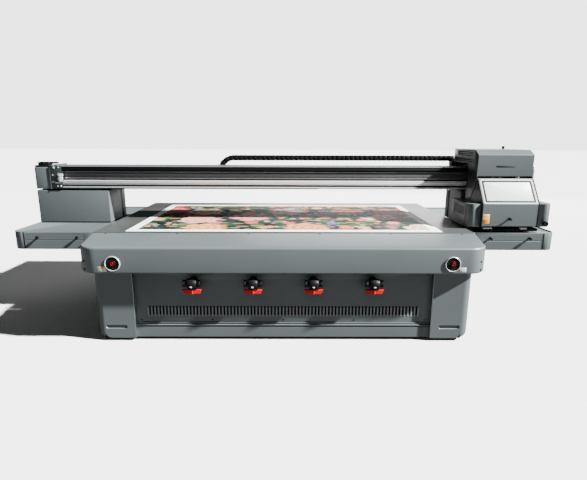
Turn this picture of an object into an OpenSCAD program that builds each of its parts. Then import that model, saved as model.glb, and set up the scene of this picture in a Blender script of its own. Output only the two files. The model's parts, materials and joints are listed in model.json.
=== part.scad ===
// Large-format flatbed printer: a fixed base with a vacuum bed, a gantry that slides
// along the bed and a print carriage that slides along the gantry beam.
// Origin: centre of the footprint on the floor. +X right, +Y to the rear, +Z up. Millimetres.

/* [Overall] */
// Width of the vacuum bed
bed_w = 3010; // [2400:10:3600]
// Depth of the whole machine, front buttons to rear panel
machine_d = 2188; // [1900:4:2700]
// Height of the bed surface above the floor
bed_top = 722; // [640:2:860]
// Distance that the gantry's beam underside stands above the bed
beam_clearance = 277; // [230:1:340]

/* [Base] */
// Height of the levelling feet
foot_h = 35; // [25:1:50]
// Thickness of the sheet-metal covers
skin = 4; // [2:0.5:6]
// How far the base walls stand in from the bed's edge
base_inset = 153; // [140:1:200]
// Width of each front corner post
post_w = 279; // [200:1:340]
// Depth of each front corner post
post_d = 300; // [200:10:400]
// Radius of the posts' outer corner
post_r = 60; // [20:5:90]
// How far the front panel sits behind the posts' front
panel_setback = 30; // [15:1:60]
// Height of the kick panel
kick_h = 99; // [60:1:140]
// Side of the square frame tubes
tube = 90; // [60:5:100]
// Wall of the frame tubes
tube_wall = 6; // [3:0.5:10]

/* [Front cover] */
// Depth of the front cover
bumper_d = 493; // [400:1:600]
// Height of the front cover
bumper_h = 185; // [150:1:220]
// Corner radius of the front cover
bumper_r = 150; // [80:5:200]
// How far the cover's front face stands ahead of the posts
bumper_overhang = 80; // [60:1:140]
// Distance between the two stop buttons
stop_span = 2330; // [1600:10:2500]
// Radius of a stop button's ring
stop_r = 53; // [40:1:60]

/* [Bed] */
// Thickness of the bed plate
bed_t = 15; // [10:1:25]
// Width of the printed sheet
sheet_w = 2526; // [1200:10:2700]
// Depth of the printed sheet
sheet_d = 1437; // [600:10:1500]
// Thickness of the printed sheet
sheet_t = 1; // [0.5:0.1:5]

/* [Valves] */
// Number of vacuum zones, each with a valve and a handle
zones = 4; // [4]
// Distance between neighbouring valves
valve_pitch = 426; // [300:1:480]
// Length of a valve handle
handle_l = 136; // [90:1:136]

/* [Gantry] */
// Width of each side pod
pod_w = 720; // [600:5:800]
// Gap between the bed's edge and a pod
pod_gap = 25; // [20:1:60]
// Length of each side pod, front to back
pod_l = 1400; // [1000:10:1500]
// Height of each side pod
pod_h = 146; // [120:1:170]
// Corner radius of a pod
pod_r = 90; // [40:5:110]
// Depth of the beam, front to back
beam_d = 280; // [200:5:320]
// Height of the beam
beam_h = 197; // [190:1:260]
// Wall of the beam extrusion
beam_wall = 12; // [6:1:20]
// Travel of the gantry towards the front
travel_front = 480; // [300:10:500]

/* [Carriage] */
// Width of the hood between its side plates
hood_w = 470; // [400:5:520]
// Width of each lamp housing
lamp_w = 112; // [80:1:130]
// Clearance between the bed and the print head's underside
head_gap = 16; // [12:1:40]
// Height of the head's lower body
head_h = 190; // [150:1:240]
// Height of the hood's top above the head's underside
hood_h = 620; // [600:5:760]
// Rise of the head-height slide
lift = 100; // [60:5:120]

/* [Cable chain] */
// Width of the chain
chain_w = 80; // [50:1:100]
// Height of the chain
chain_h = 50; // [30:1:60]
// Bend radius of the chain's centre line
chain_r = 135; // [100:5:160]

/* [Hidden] */
$fn = 48;

gap = 1;                 // assembly gap between covers
seat = 0.3;              // gap where a loose piece rests in a recess
run_fit = 0.5;           // clearance of a slide on its rail
pin_fit = 0.05;          // radial clearance of a hinge pin
stop_proud = 14;         // how far a stop button stands out of the front cover
stop_travel = 5;

// Base: side to side
bed_x = bed_w / 2;
base_x = bed_x - base_inset;
post_in = base_x - post_w;
leg_x = base_x - tube / 2 - 67;
// Base: front to back
bumper_front = -machine_d / 2 + stop_proud;
bumper_back = bumper_front + bumper_d;
base_front = bumper_front + bumper_overhang;
panel_y = base_front + panel_setback;
back = machine_d / 2;
leg_ys = [base_front + 150, (base_front + back) / 2, back - 150];
// Base: heights
cover_z = foot_h - 11;
bumper_z1 = bed_top - 2;
bumper_z0 = bumper_z1 - bumper_h;
bed_z0 = bed_top - bed_t;
plenum_h = 56;
plenum_z0 = bed_z0 - plenum_h;
frame_z1 = plenum_z0 - gap;
leg_z1 = frame_z1 - tube;

// Rails along the base
rail_beam_w = 125;
rail_beam_h = 100;
rail_beam_z0 = bed_z0 - 167;
rail_w = 20;
rail_h = 24;
rail_z = rail_beam_z0 + rail_beam_h / 2;
rail_x = base_x + gap + rail_beam_w;
rail_y0 = bumper_back + 7;
block_h = 60;

// Gantry
pod_x0 = bed_x + pod_gap;
pod_x1 = pod_x0 + pod_w;
pod_z1 = bed_top - 31;
pod_z0 = pod_z1 - pod_h;
pod_y0 = -430;
pod_y1 = pod_y0 + pod_l;
pod_lip = 9;
deck_z = pod_z1 - pod_lip;
cover_x1 = pod_x1;
beam_y0 = 40;
beam_y1 = beam_y0 + beam_d;
beam_z0 = bed_top + beam_clearance;
beam_z1 = beam_z0 + beam_h;
cover_w = 140;
beam_x = cover_x1 - cover_w - 20;
end_plate_t = 18;
cover_y0 = 25;
cover_y1 = beam_y1 - 2;
leg_box_x0 = pod_x0 + 70;
leg_box_z1 = beam_z0 - 17;
column_x0 = leg_box_x0 + 90;
column_w = 200;
column_y0 = 60;
column_y1 = beam_y1 - 60;
// Bands of the beam's front, bottom to top
lip_z = beam_z0 + 21;
low_rail_z0 = beam_z0 + 34;
low_rail_z1 = beam_z0 + 73;
track_z0 = beam_z0 + 86;
track_z1 = beam_z0 + 154;
top_rail_z0 = beam_z0 + 161;
top_rail_z1 = beam_z0 + 183;
rail_proud = 20;
// Pod doors
door_x0 = pod_x0 + 124;
door_x1 = pod_x1 - 120;
hinge_y = pod_y0 + skin / 2;
pin_r = skin / 2 - 0.5;
pin_l = 9;
door_z0 = pod_z0 + skin + 2;
door_z1 = pod_z1 - pod_lip - skin - 3;
knob_z = pod_z0 + 102;
knob_inset = 46;

// Carriage and head
head_x = pod_x0 + 320;
head_z0 = bed_top + head_gap;
head_z1 = head_z0 + head_h;
hood_x0 = head_x - hood_w / 2;
hood_x1 = head_x + hood_w / 2;
head_y0 = -420;
head_y1 = -40;
lamp_y0 = head_y0 + 10;
plate_y0 = -20;
plate_t = 14;
plate_x0 = head_x - 200;
plate_x1 = head_x + 200;
plate_z0 = head_z1 - 30;
hood_z1 = head_z0 + hood_h;
brow_y = -250;
brow_z0 = hood_z1 - 223;
brow_chamfer_y = 80;
brow_chamfer_z = 40;
roof_z0 = beam_z1 + 20;
roof_y1 = 306;
hatch_top_y = brow_y - 20;
hatch_top_z = brow_z0 - 8;
slope = atan2(hatch_top_z - head_z1, hatch_top_y - head_y0);
slope_l = (hatch_top_y - head_y0) / cos(slope);
hatch_pin_r = 2.5;
hatch_pin_back = 8;      // the hinge's distance from the top of the slope
hatch_pin_in = 6;        // and its depth below the sloping face
hatch_x0 = hood_x0 + skin + 2;
hatch_x1 = hood_x1 - skin - 2;
lift_rail_w = 20;
lift_rail_d = 14;

// Cable chain
chain_y0 = beam_y1 + 10;
chain_low_z = beam_z0 - 7;
chain_mid_z = chain_low_z + chain_r;
chain_top_z = chain_low_z + 2 * chain_r;
loop_x = -500;
chain_end_x = hood_x0 - 15;
chain_fix_x = 200;
chain_wall = 6;
link_pitch = 60;
tray_x0 = -cover_x1 + 45;

module box(x0, x1, y0, y1, z0, z1) {
    translate([x0, y0, z0]) cube([x1 - x0, y1 - y0, z1 - z0]);
}

// A right-hand piece is drawn at +X and a left-hand one is its mirror image
module right() { children(); }
module left() { mirror([1, 0, 0]) children(); }
module both() { right() children(); left() children(); }

// A profile drawn in (Y, Z), carried along X from x0 to x1
module along_x(x0, x1) {
    translate([x0, 0, 0]) rotate([90, 0, 90]) linear_extrude(x1 - x0) children();
}

// A profile drawn in (X, Z), carried along Y from y0 to y1
module along_y(y0, y1) {
    translate([0, y1, 0]) rotate([90, 0, 0]) linear_extrude(y1 - y0) children();
}

module rect(x0, x1, y0, y1) { translate([x0, y0]) square([x1 - x0, y1 - y0]); }

// Rectangle with all four corners rounded
module round_rect(x0, x1, y0, y1, r) {
    rect(x0 + r, x1 - r, y0, y1);
    rect(x0, x1, y0 + r, y1 - r);
    for (x = [x0 + r, x1 - r], y = [y0 + r, y1 - r]) translate([x, y]) circle(r);
}

// Rectangle with only the corner at (x1, y0) rounded
module front_corner_rect(x0, x1, y0, y1, r) {
    rect(x0, x1 - r, y0, y1);
    rect(x0, x1, y0 + r, y1);
    translate([x1 - r, y0 + r]) circle(r);
}

// ---- Base ----

module frame_tube_y(x, z0) {
    difference() {
        box(x - tube / 2, x + tube / 2, base_front + 60, back - 20, z0, z0 + tube);
        box(x - tube / 2 + tube_wall, x + tube / 2 - tube_wall, base_front + 59, back - 19,
            z0 + tube_wall, z0 + tube - tube_wall);
    }
}

module frame_leg(x, y) {
    difference() {
        box(x - tube / 2, x + tube / 2, y - tube / 2, y + tube / 2, foot_h, leg_z1);
        box(x - tube / 2 + tube_wall, x + tube / 2 - tube_wall, y - tube / 2 + tube_wall,
            y + tube / 2 - tube_wall, foot_h + 2 * tube_wall, leg_z1 + 1);
        translate([x, y, foot_h - 1]) cylinder(r = 10.4, h = 2 * tube_wall + 2);
    }
}

module base_frame() {
    color("dimgray") {
        for (x = [-leg_x, 0, leg_x]) {
            frame_tube_y(x, leg_z1);
            for (y = leg_ys) frame_leg(x, y);
        }
        for (y = leg_ys, x = [-leg_x, 0])
            box(x + tube / 2, x + leg_x - tube / 2, y - tube / 2, y + tube / 2,
                leg_z1, frame_z1);
        for (y = [leg_ys[1], leg_ys[2]], x = [-leg_x, 0])
            box(x + tube / 2, x + leg_x - tube / 2, y - 20, y + 20, 160, 200);
    }
}

module rail_beams() {
    color("slategray") both() difference() {
        box(base_x + gap, rail_x, rail_y0, back - 10, rail_beam_z0,
            rail_beam_z0 + rail_beam_h);
        box(base_x + gap + 8, rail_x - 8, rail_y0 - 1, back - 9, rail_beam_z0 + 8,
            rail_beam_z0 + rail_beam_h - 8);
    }
}

// Linear rails on the outer faces of the rail beams, with a ball groove on each flank
module y_rails() {
    color("silver") both() along_y(rail_y0 + 2, back - 12) difference() {
        rect(rail_x, rail_x + rail_w, rail_z - rail_h / 2, rail_z + rail_h / 2);
        for (z = [-1, 1]) translate([rail_x + 13, rail_z + z * (rail_h / 2 + 1)]) circle(4);
    }
}

module corner_post() {
    slot_l = 145;
    slot_h = 27;
    slot_z = foot_h + 81;
    difference() {
        translate([0, 0, cover_z]) linear_extrude(bumper_z0 - gap - cover_z) difference() {
            front_corner_rect(post_in, base_x, base_front, base_front + post_d, post_r);
            front_corner_rect(post_in + skin, base_x - skin, base_front + skin,
                base_front + post_d + 1, post_r - skin);
        }
        along_y(base_front - 1, base_front + skin / 2)
            round_rect((post_in + base_x - slot_l) / 2, (post_in + base_x + slot_l) / 2,
                slot_z - slot_h / 2, slot_z + slot_h / 2, slot_h / 2 - 0.1);
    }
}

module corner_post_left() { color("slategray") left() corner_post(); }
module corner_post_right() { color("slategray") right() corner_post(); }

module side_panel() {
    difference() {
        box(base_x - skin, base_x, base_front + post_d + gap, back - skin - gap, cover_z,
            bumper_z0 - gap);
        for (i = [0:9])
            box(base_x - skin - 1, base_x + 1, 300, 560, cover_z + 120 + i * 22,
                cover_z + 130 + i * 22);
    }
    box(base_x - skin, base_x, bumper_back + gap, back - skin - gap, bumper_z0 - gap,
        frame_z1);
}

module side_panel_left() { color("slategray") left() side_panel(); }
module side_panel_right() { color("slategray") right() side_panel(); }

blower_x = 760;
blower_z = 330;
port_r = 46;
port_wall = 4;
port_l = 60;
inlet_x = -900;
inlet_z = 330;
inlet_r = 34;

module rear_panel() {
    color("slategray") difference() {
        box(-base_x, base_x, back - skin, back, cover_z, frame_z1);
        translate([blower_x, back + 1, blower_z]) rotate([90, 0, 0])
            cylinder(r = port_r + port_wall + gap, h = skin + 2);
        translate([inlet_x, back + 1, inlet_z]) rotate([90, 0, 0])
            cylinder(r = inlet_r, h = skin + 2);
        for (i = [0:24])
            box(-300 + i * 24, -288 + i * 24, back - skin - 1, back + 1, 420, 520);
    }
}

vent_pitch = 24.5;
vent_w = 12;
vent_h = 68;
vent_z0 = foot_h + 156;
vents = floor((2 * post_in - 170) / vent_pitch);

module front_panel() {
    color("slategray") difference() {
        box(-post_in + gap, post_in - gap, panel_y, panel_y + skin, cover_z + kick_h,
            bumper_z0 - gap);
        for (i = [0:vents - 1])
            translate([(i - (vents - 1) / 2) * vent_pitch - vent_w / 2, panel_y - 1, vent_z0])
                cube([vent_w, skin + 2, vent_h]);
        for (x = valve_xs)
            translate([x, panel_y - 1, valve_z]) rotate([-90, 0, 0])
                cylinder(r = valve_pipe_r + gap, h = skin + 2);
    }
}

// Kick panel with a rolled top lip that stands ahead of the front panel
module kick_panel() {
    lip = 14;
    color("slategray") along_x(-post_in + gap, post_in - gap) {
        rect(panel_y, panel_y + skin, cover_z, cover_z + kick_h - gap);
        rect(panel_y - lip, panel_y, cover_z + kick_h - skin - gap, cover_z + kick_h - gap);
        rect(panel_y - lip, panel_y - lip + skin, cover_z + kick_h - 3 * skin,
            cover_z + kick_h - skin - gap);
    }
}

// Plan of the front cover: flat front, round corners, sides that taper to the corners
bumper_taper_y = bumper_front + bumper_r;
bumper_taper_x = bed_x + 5 - 80;
module bumper_plan(inset) {
    x1 = bed_x + 5 - inset;
    xt = bumper_taper_x - inset;
    xf = bumper_taper_x - bumper_r;
    yf = bumper_front + inset;
    polygon([[-x1, bumper_back], [x1, bumper_back], [xt, bumper_taper_y],
        [xf, yf], [-xf, yf], [-xt, bumper_taper_y]]);
    for (s = [-1, 1]) translate([s * xf, bumper_taper_y]) circle(bumper_r - inset);
}

stop_z = bumper_z0 + 72;
screw_xs = [for (i = [-5:2:5]) i * (bed_x + 5) * 0.1835];
screw_y = bumper_back - 40;
screw_r = 7;

module front_bumper() {
    color("lightslategray") difference() {
        translate([0, 0, bumper_z0]) linear_extrude(bumper_h) bumper_plan(0);
        translate([0, 0, bumper_z0 + skin]) linear_extrude(bumper_h - 2 * skin)
            bumper_plan(skin);
        box(-bed_x + 30, bed_x - 30, bumper_back - skin - 1, bumper_back + 1,
            bumper_z0 + 20, bumper_z1 - 20);
        for (s = [-1, 1])
            translate([s * stop_span / 2, bumper_front - 1, stop_z]) rotate([-90, 0, 0])
                cylinder(r = stop_r - 12, h = skin + 2);
        for (x = [-leg_x, 0, leg_x])
            box(x - tube / 2 - 2, x + tube / 2 + 2, leg_ys[0] - tube / 2 - 2,
                leg_ys[0] + tube / 2 + 2, bumper_z0 - 1, bumper_z0 + skin + 1);
        for (x = screw_xs) translate([x, screw_y, bumper_z1 - skin - 1])
            cylinder(r = screw_r - 3, h = skin + 2);
    }
}

// Button-head screws: a head on the cover and a shank through its hole
module cover_screws() {
    color("black") for (x = screw_xs) translate([x, screw_y, bumper_z1])
        rotate_extrude() polygon([[0, -14], [screw_r - 3.2, -14], [screw_r - 3.2, 0],
            [screw_r, 0], [screw_r, 1.2], [screw_r - 3, 2], [0, 2]]);
}

module vacuum_bed() {
    color([0.22, 0.24, 0.25]) difference() {
        box(-bed_x, bed_x, bumper_back + gap, back - 26, bed_z0, bed_top);
        for (s = [-1, 1]) box(s * (bed_x - 60) - 1.5, s * (bed_x - 60) + 1.5,
            bumper_back + 30, back - 56, bed_top - 2, bed_top + 1);
    }
}

// Plenum: one open-topped pan, split by a rib between every two vacuum zones
module vacuum_plenum() {
    px = base_x - 12;
    color("silver") difference() {
        box(-px, px, bumper_back + 20, back - 60, plenum_z0, bed_z0);
        for (i = [0:zones - 1])
            box(-px + 6 + i * (2 * px - 6) / zones, -px + (i + 1) * (2 * px - 6) / zones,
                bumper_back + 26, back - 66, plenum_z0 + 6, bed_z0 + 1);
    }
}

module printed_sheet() {
    y0 = bumper_back + 40;
    color("white") box(-sheet_w / 2, sheet_w / 2, y0, y0 + sheet_d, bed_top,
        bed_top + sheet_t);
}

// ---- Vacuum system and valves ----

valve_xs = [for (i = [0:zones - 1]) (i - (zones - 1) / 2) * valve_pitch];
valve_y = panel_y - 75;
valve_z = foot_h + 410;
valve_pipe_r = 24;
handle_h = 38;
handle_z1 = valve_z - 33;

module vacuum_blower() {
    color("dimgray") {
        translate([blower_x, back - 330, blower_z]) rotate([90, 0, 0])
            cylinder(r = 190, h = 150);
        translate([blower_x, back - 480, blower_z]) rotate([90, 0, 0])
            cylinder(r = 110, h = 220);
        box(blower_x - 160, blower_x + 160, back - 690, back - 330, foot_h + 80,
            blower_z - 150);
        translate([blower_x, back - 40, blower_z]) rotate([90, 0, 0]) difference() {
            cylinder(r = port_r, h = 290);
            translate([0, 0, port_l]) cylinder(r = port_r - port_wall, h = 231);
        }
    }
    color("silver") translate([blower_x, back, blower_z]) rotate([90, 0, 0])
        difference() {
            cylinder(r = port_r + port_wall, h = 40);
            translate([0, 0, -1]) cylinder(r = port_r, h = 42);
        }
}

// A header ahead of the legs joins the valves; a pipe from each valve runs back
// under the front cover and rises to its zone of the plenum
header_y = leg_ys[0] - tube / 2 - valve_pipe_r - 8;
riser_y = bumper_back + 60;
module vacuum_pipes() {
    color("dimgray") {
        translate([valve_xs[0] - 60, header_y, valve_z]) rotate([0, 90, 0])
            cylinder(r = valve_pipe_r, h = valve_xs[zones - 1] - valve_xs[0] + 120);
        for (x = valve_xs) {
            translate([x, riser_y, valve_z]) rotate([90, 0, 0])
                cylinder(r = valve_pipe_r - 4, h = riser_y - panel_y - 12);
            translate([x, riser_y, valve_z]) sphere(valve_pipe_r - 4);
            translate([x, riser_y, valve_z])
                cylinder(r = valve_pipe_r - 4, h = plenum_z0 - valve_z);
        }
    }
}

// Valve: a body on its pipe stub, a packing gland and a stem end below the handle
module zone_valves() {
    color("black") for (x = valve_xs) {
        translate([x, valve_y, valve_z]) rotate([-90, 0, 0])
            cylinder(r = valve_pipe_r, h = panel_y - valve_y + 12);
        translate([x - 55, valve_y, valve_z]) rotate([0, 90, 0])
            cylinder(r = 28, h = 110, $fn = 8);
        translate([x, valve_y, handle_z1 + seat]) cylinder(r = 16, h = 33);
        translate([x, valve_y, handle_z1 - handle_h - 3]) cylinder(r = 5, h = handle_h + 10);
    }
}

// Handle: a bar with bevelled ends that tapers downwards, bored for the valve stem
module valve_handle(i) {
    bevel = 14;
    color("red") translate([valve_xs[i], valve_y, handle_z1 - handle_h]) difference() {
        along_y(-9, 9) polygon([[-handle_l / 2 + bevel, 6], [-8, 6], [-5, 0], [5, 0], [8, 6],
            [handle_l / 2 - bevel, 6], [handle_l / 2, handle_h], [-handle_l / 2, handle_h]]);
        translate([0, 0, -1]) cylinder(r = 5.05, h = handle_h + 2);
    }
}

module stop_rings() {
    color("silver") for (s = [-1, 1]) translate([s * stop_span / 2, bumper_front, stop_z])
        rotate([90, 0, 0]) difference() {
            union() {
                cylinder(r = stop_r, h = 8);
                translate([0, 0, -skin - 4]) cylinder(r = stop_r - 12.5, h = skin + 5);
            }
            translate([0, 0, 2]) cylinder(r = stop_r - 8, h = 7);
            translate([0, 0, -skin - 5]) cylinder(r = 8.05, h = skin + 8);
        }
}

module stop_button() {
    color("red") translate([stop_span / 2, bumper_front, stop_z]) rotate([90, 0, 0]) {
        translate([0, 0, 8]) cylinder(r1 = 18, r2 = 15, h = stop_proud - 8);
        translate([0, 0, -skin - 3]) cylinder(r = 8, h = skin + 12);
    }
}

module stop_button_left() { left() stop_button(); }
module stop_button_right() { right() stop_button(); }

module levelling_feet() {
    color("black") for (x = [-leg_x, 0, leg_x], y = leg_ys) translate([x, y, 0])
        rotate_extrude() polygon([[0, 0], [45, 0], [45, 8], [22, 18], [16, 18],
            [16, foot_h], [10, foot_h], [10, foot_h + 30], [0, foot_h + 30]]);
}

module control_cabinet() {
    color("lightgray") difference() {
        box(-1120, -620, back - 330, back - 30, 215, 560);
        box(-1118, -622, back - 328, back - 34, 217, 558);
    }
}

module power_inlet() {
    color("black") translate([inlet_x, back, inlet_z]) rotate([90, 0, 0]) difference() {
        cylinder(r = inlet_r - seat, h = 29);
        translate([0, 0, -1]) cylinder(r = inlet_r - 8, h = 20);
    }
}

// ---- Gantry ----

module gantry_beam() {
    core_y = beam_y0 + beam_wall + 10;
    mid_y = (beam_y0 + beam_y1) / 2;
    color("slategray") along_x(-beam_x, beam_x) difference() {
        union() {
            rect(beam_y0, beam_y1, beam_z0, beam_z1);
            rect(beam_y0 - rail_proud, beam_y0, beam_z0, lip_z);
            rect(beam_y0 - rail_proud, beam_y0, top_rail_z1 + 8, beam_z1);
        }
        rect(core_y, mid_y - 6, beam_z0 + beam_wall, beam_z1 - beam_wall);
        rect(mid_y + 6, beam_y1 - beam_wall, beam_z0 + beam_wall, beam_z1 - beam_wall);
    }
}

module beam_rails() {
    color("silver") for (z = [[low_rail_z0, low_rail_z1], [top_rail_z0, top_rail_z1]])
        along_x(-beam_x, beam_x) difference() {
            rect(beam_y0 - rail_proud, beam_y0, z[0], z[1]);
            for (e = z) translate([beam_y0 - rail_proud + 8, e]) circle(3);
        }
}

// Magnet track of the linear motor, between the rails
module motor_track() {
    color("gray") difference() {
        box(-beam_x, beam_x, beam_y0 - 10, beam_y0, track_z0, track_z1);
        for (i = [-26:26]) translate([i * 80, beam_y0 - 11, track_z0 + 20])
            rotate([-90, 0, 0]) cylinder(r = 5, h = 7, $fn = 24);
    }
}

foot_z0 = rail_z - block_h / 2;
foot_z1 = rail_z + block_h / 2;
// Steel legs that carry the beam, with a foot that reaches in to the runner blocks
module gantry_legs() {
    color("dimgray") both() {
        difference() {
            box(column_x0, column_x0 + column_w, column_y0, column_y1, foot_z0,
                beam_z0);
            box(column_x0 + 10, column_x0 + column_w - 10, column_y0 + 10, column_y1 - 10,
                foot_z1 + 20, beam_z0 - 12);
        }
        box(rail_x + rail_w + 12, column_x0, column_y0 - 20, column_y1 + 20, foot_z0,
            foot_z1);
        box(beam_x, beam_x + end_plate_t, beam_y0 - 15, beam_y1 - 10, beam_z0 - 5,
            beam_z1 + 12);
    }
}

module end_cover() {
    x0 = cover_x1 - cover_w;
    z0 = beam_z0 - 6;
    z1 = beam_z1 - 9;
    difference() {
        box(x0, cover_x1, cover_y0, cover_y1, z0, z1);
        box(x0 - 1, cover_x1 - skin, cover_y0 + skin, cover_y1 - skin, z0 + skin, z1 - skin);
    }
    box(x0 + 10, cover_x1 - 20, cover_y0 + 10, cover_y1 - 20, z1, z1 + 45);
}

module end_cover_left() { color("slategray") left() end_cover(); }
module end_cover_right() { color("slategray") right() end_cover(); }

module leg_box() {
    difference() {
        box(leg_box_x0, cover_x1, cover_y0, cover_y1, pod_z1 + gap, leg_box_z1);
        box(leg_box_x0 + skin, cover_x1 - skin, cover_y0 + skin, cover_y1 - skin,
            pod_z1 - 1, leg_box_z1 - skin);
        box(column_x0 - gap, column_x0 + column_w + gap, column_y0 - gap, column_y1 + gap,
            leg_box_z1 - skin - 1, leg_box_z1 + 1);
    }
}

module leg_box_left() { color("slategray") left() leg_box(); }
module leg_box_right() { color("slategray") right() leg_box(); }

module pod_plan(inset) {
    front_corner_rect(pod_x0 + inset, pod_x1 - inset, pod_y0 + inset, pod_y1 - inset,
        pod_r - inset);
}

module side_pod() {
    difference() {
        translate([0, 0, pod_z0]) linear_extrude(pod_h) pod_plan(0);
        translate([0, 0, pod_z0 + skin]) linear_extrude(deck_z - pod_z0 - 2 * skin)
            pod_plan(skin);
        translate([0, 0, deck_z]) linear_extrude(pod_lip + 1) pod_plan(2 * skin);
        box(door_x0 - gap, door_x1 + gap, pod_y0 - 1, pod_y0 + skin + 1, door_z0 - gap,
            door_z1 + gap);
        box(pod_x0 - 1, column_x0 + column_w + 2, column_y0 - 22, column_y1 + 22,
            foot_z0 - 2, foot_z1 + 2);
        box(column_x0 - gap, column_x0 + column_w + gap, column_y0 - gap, column_y1 + gap,
            deck_z - skin - 1, pod_z1 + 1);
        translate([door_x0 - pin_l - gap, hinge_y, door_z0 + skin / 2]) rotate([0, 90, 0])
            cylinder(r = pin_r + pin_fit, h = door_x1 - door_x0 + 2 * (pin_l + gap));
    }
}

module side_pod_left() { color("slategray") left() side_pod(); }
module side_pod_right() { color("slategray") right() side_pod(); }

// Runner blocks: two on each rail, wrapped round its head
module runner_blocks() {
    reach = 12;
    color("dimgray") both() for (y = [column_y0 + 20, column_y1 - 80]) difference() {
        box(rail_x + 5, rail_x + rail_w + reach, y, y + 60, foot_z0, foot_z1);
        box(rail_x, rail_x + rail_w + run_fit, y - 1, y + 61, rail_z - rail_h / 2 - run_fit,
            rail_z + rail_h / 2 + run_fit);
    }
}

// Tray behind the beam that the chain lies in
module chain_tray() {
    floor_z = chain_low_z - chain_h / 2 - gap;
    color("dimgray") along_x(tray_x0, chain_fix_x + 120) {
        rect(beam_y1, chain_y0 + chain_w + 8, floor_z - skin, floor_z);
        rect(chain_y0 + chain_w + 8 - skin, chain_y0 + chain_w + 8, floor_z, floor_z + 30);
        rect(beam_y1, beam_y1 + skin, floor_z, beam_z0 + 30);
    }
}

// One straight run of chain: a hollow band with a rib at every link
module chain_run(x0, x1, z) {
    difference() {
        box(x0, x1, chain_y0, chain_y0 + chain_w, z - chain_h / 2, z + chain_h / 2);
        box(x0 - 1, x1 + 1, chain_y0 + chain_wall, chain_y0 + chain_w - chain_wall,
            z - chain_h / 2 + chain_wall, z + chain_h / 2 - chain_wall);
        for (x = [x0 + link_pitch / 2:link_pitch:x1 - link_pitch / 3])
            box(x - 3, x + 3, chain_y0 + 3 * chain_wall, chain_y0 + chain_w - 3 * chain_wall,
                z - chain_h / 2 - 1, z + chain_h / 2 + 1);
    }
}

module drag_chain_lower() {
    color("black") chain_run(loop_x + gap, chain_fix_x, chain_low_z);
}

module drag_chain_upper() {
    color("black") chain_run(loop_x + gap, chain_end_x, chain_top_z);
}

module drag_chain_loop() {
    color("black") translate([loop_x, chain_y0 + chain_w, chain_mid_z]) rotate([90, 0, 0])
        linear_extrude(chain_w) difference() {
            circle(chain_r + chain_h / 2);
            circle(chain_r - chain_h / 2);
            rect(0, 2 * chain_r, -2 * chain_r, 2 * chain_r);
        }
}

module ink_tanks() {
    color("white") for (i = [0:5])
        box(door_x0 + 20 + i * 72, door_x0 + 84 + i * 72, pod_y0 + 40, pod_y0 + 220,
            pod_z0 + skin, pod_z0 + skin + 100);
}

// Drop-down door: a rounded lower edge on two hinge pins, and a groove across its face
module pod_door() {
    groove_z = pod_z0 + 74;
    hinge_z = door_z0 + skin / 2;
    translate([door_x0 - pin_l, hinge_y, hinge_z]) rotate([0, 90, 0])
        cylinder(r = pin_r, h = door_x1 - door_x0 + 2 * pin_l);
    difference() {
        union() {
            box(door_x0, door_x1, pod_y0, pod_y0 + skin, hinge_z, door_z1);
            translate([door_x0, hinge_y, hinge_z]) rotate([0, 90, 0])
                cylinder(r = skin / 2, h = door_x1 - door_x0);
        }
        box(door_x0 - 1, door_x1 + 1, pod_y0 - 1, pod_y0 + skin / 3, groove_z,
            groove_z + 5);
        for (x = [door_x0 + knob_inset, door_x1 - knob_inset - 59])
            translate([x, pod_y0 - 1, knob_z]) rotate([-90, 0, 0])
                cylinder(r = 4.2, h = skin + 2);
    }
}

module pod_knobs() {
    color("black") for (x = [door_x0 + knob_inset, door_x1 - knob_inset - 59])
        translate([x, pod_y0, knob_z]) rotate([90, 0, 0]) {
            cylinder(r = 8, h = 12);
            translate([0, 0, 12]) cylinder(r1 = 10, r2 = 13, h = 16);
            translate([0, 0, -skin - 3]) cylinder(r = 4, h = skin + 4);
        }
}

module pod_door_left() { color("slategray") left() pod_door(); }
module pod_door_right() { color("slategray") right() pod_door(); }
module pod_knobs_left() { left() pod_knobs(); }
module pod_knobs_right() { right() pod_knobs(); }

// Capping station: a tray on a lifting plate, with a soft cap for every print head
cap_top = head_z0 - 16;
module capping_tray() {
    color("black") {
        difference() {
            box(pod_x0 + 130, pod_x1 - 140, head_y0 + 40, head_y1 - 20, deck_z + 15,
                cap_top - 4);
            box(pod_x0 + 136, pod_x1 - 146, head_y0 + 46, head_y1 - 26, deck_z + 21,
                cap_top);
        }
        for (i = [0:print_rows - 1], j = [0, 1]) translate([print_x(i), print_y(j), deck_z + 18])
            cube([print_w, print_l, cap_top - deck_z - 18]);
        translate([head_x, (head_y0 + head_y1) / 2, deck_z + seat])
            cylinder(r = 30, h = 16);
    }
}

// ---- Carriage ----

print_rows = 4;
print_w = 50;
print_l = 130;
function print_x(i) = head_x - 190 + i * 100;
function print_y(j) = head_y0 + 55 + j * 155;

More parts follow.
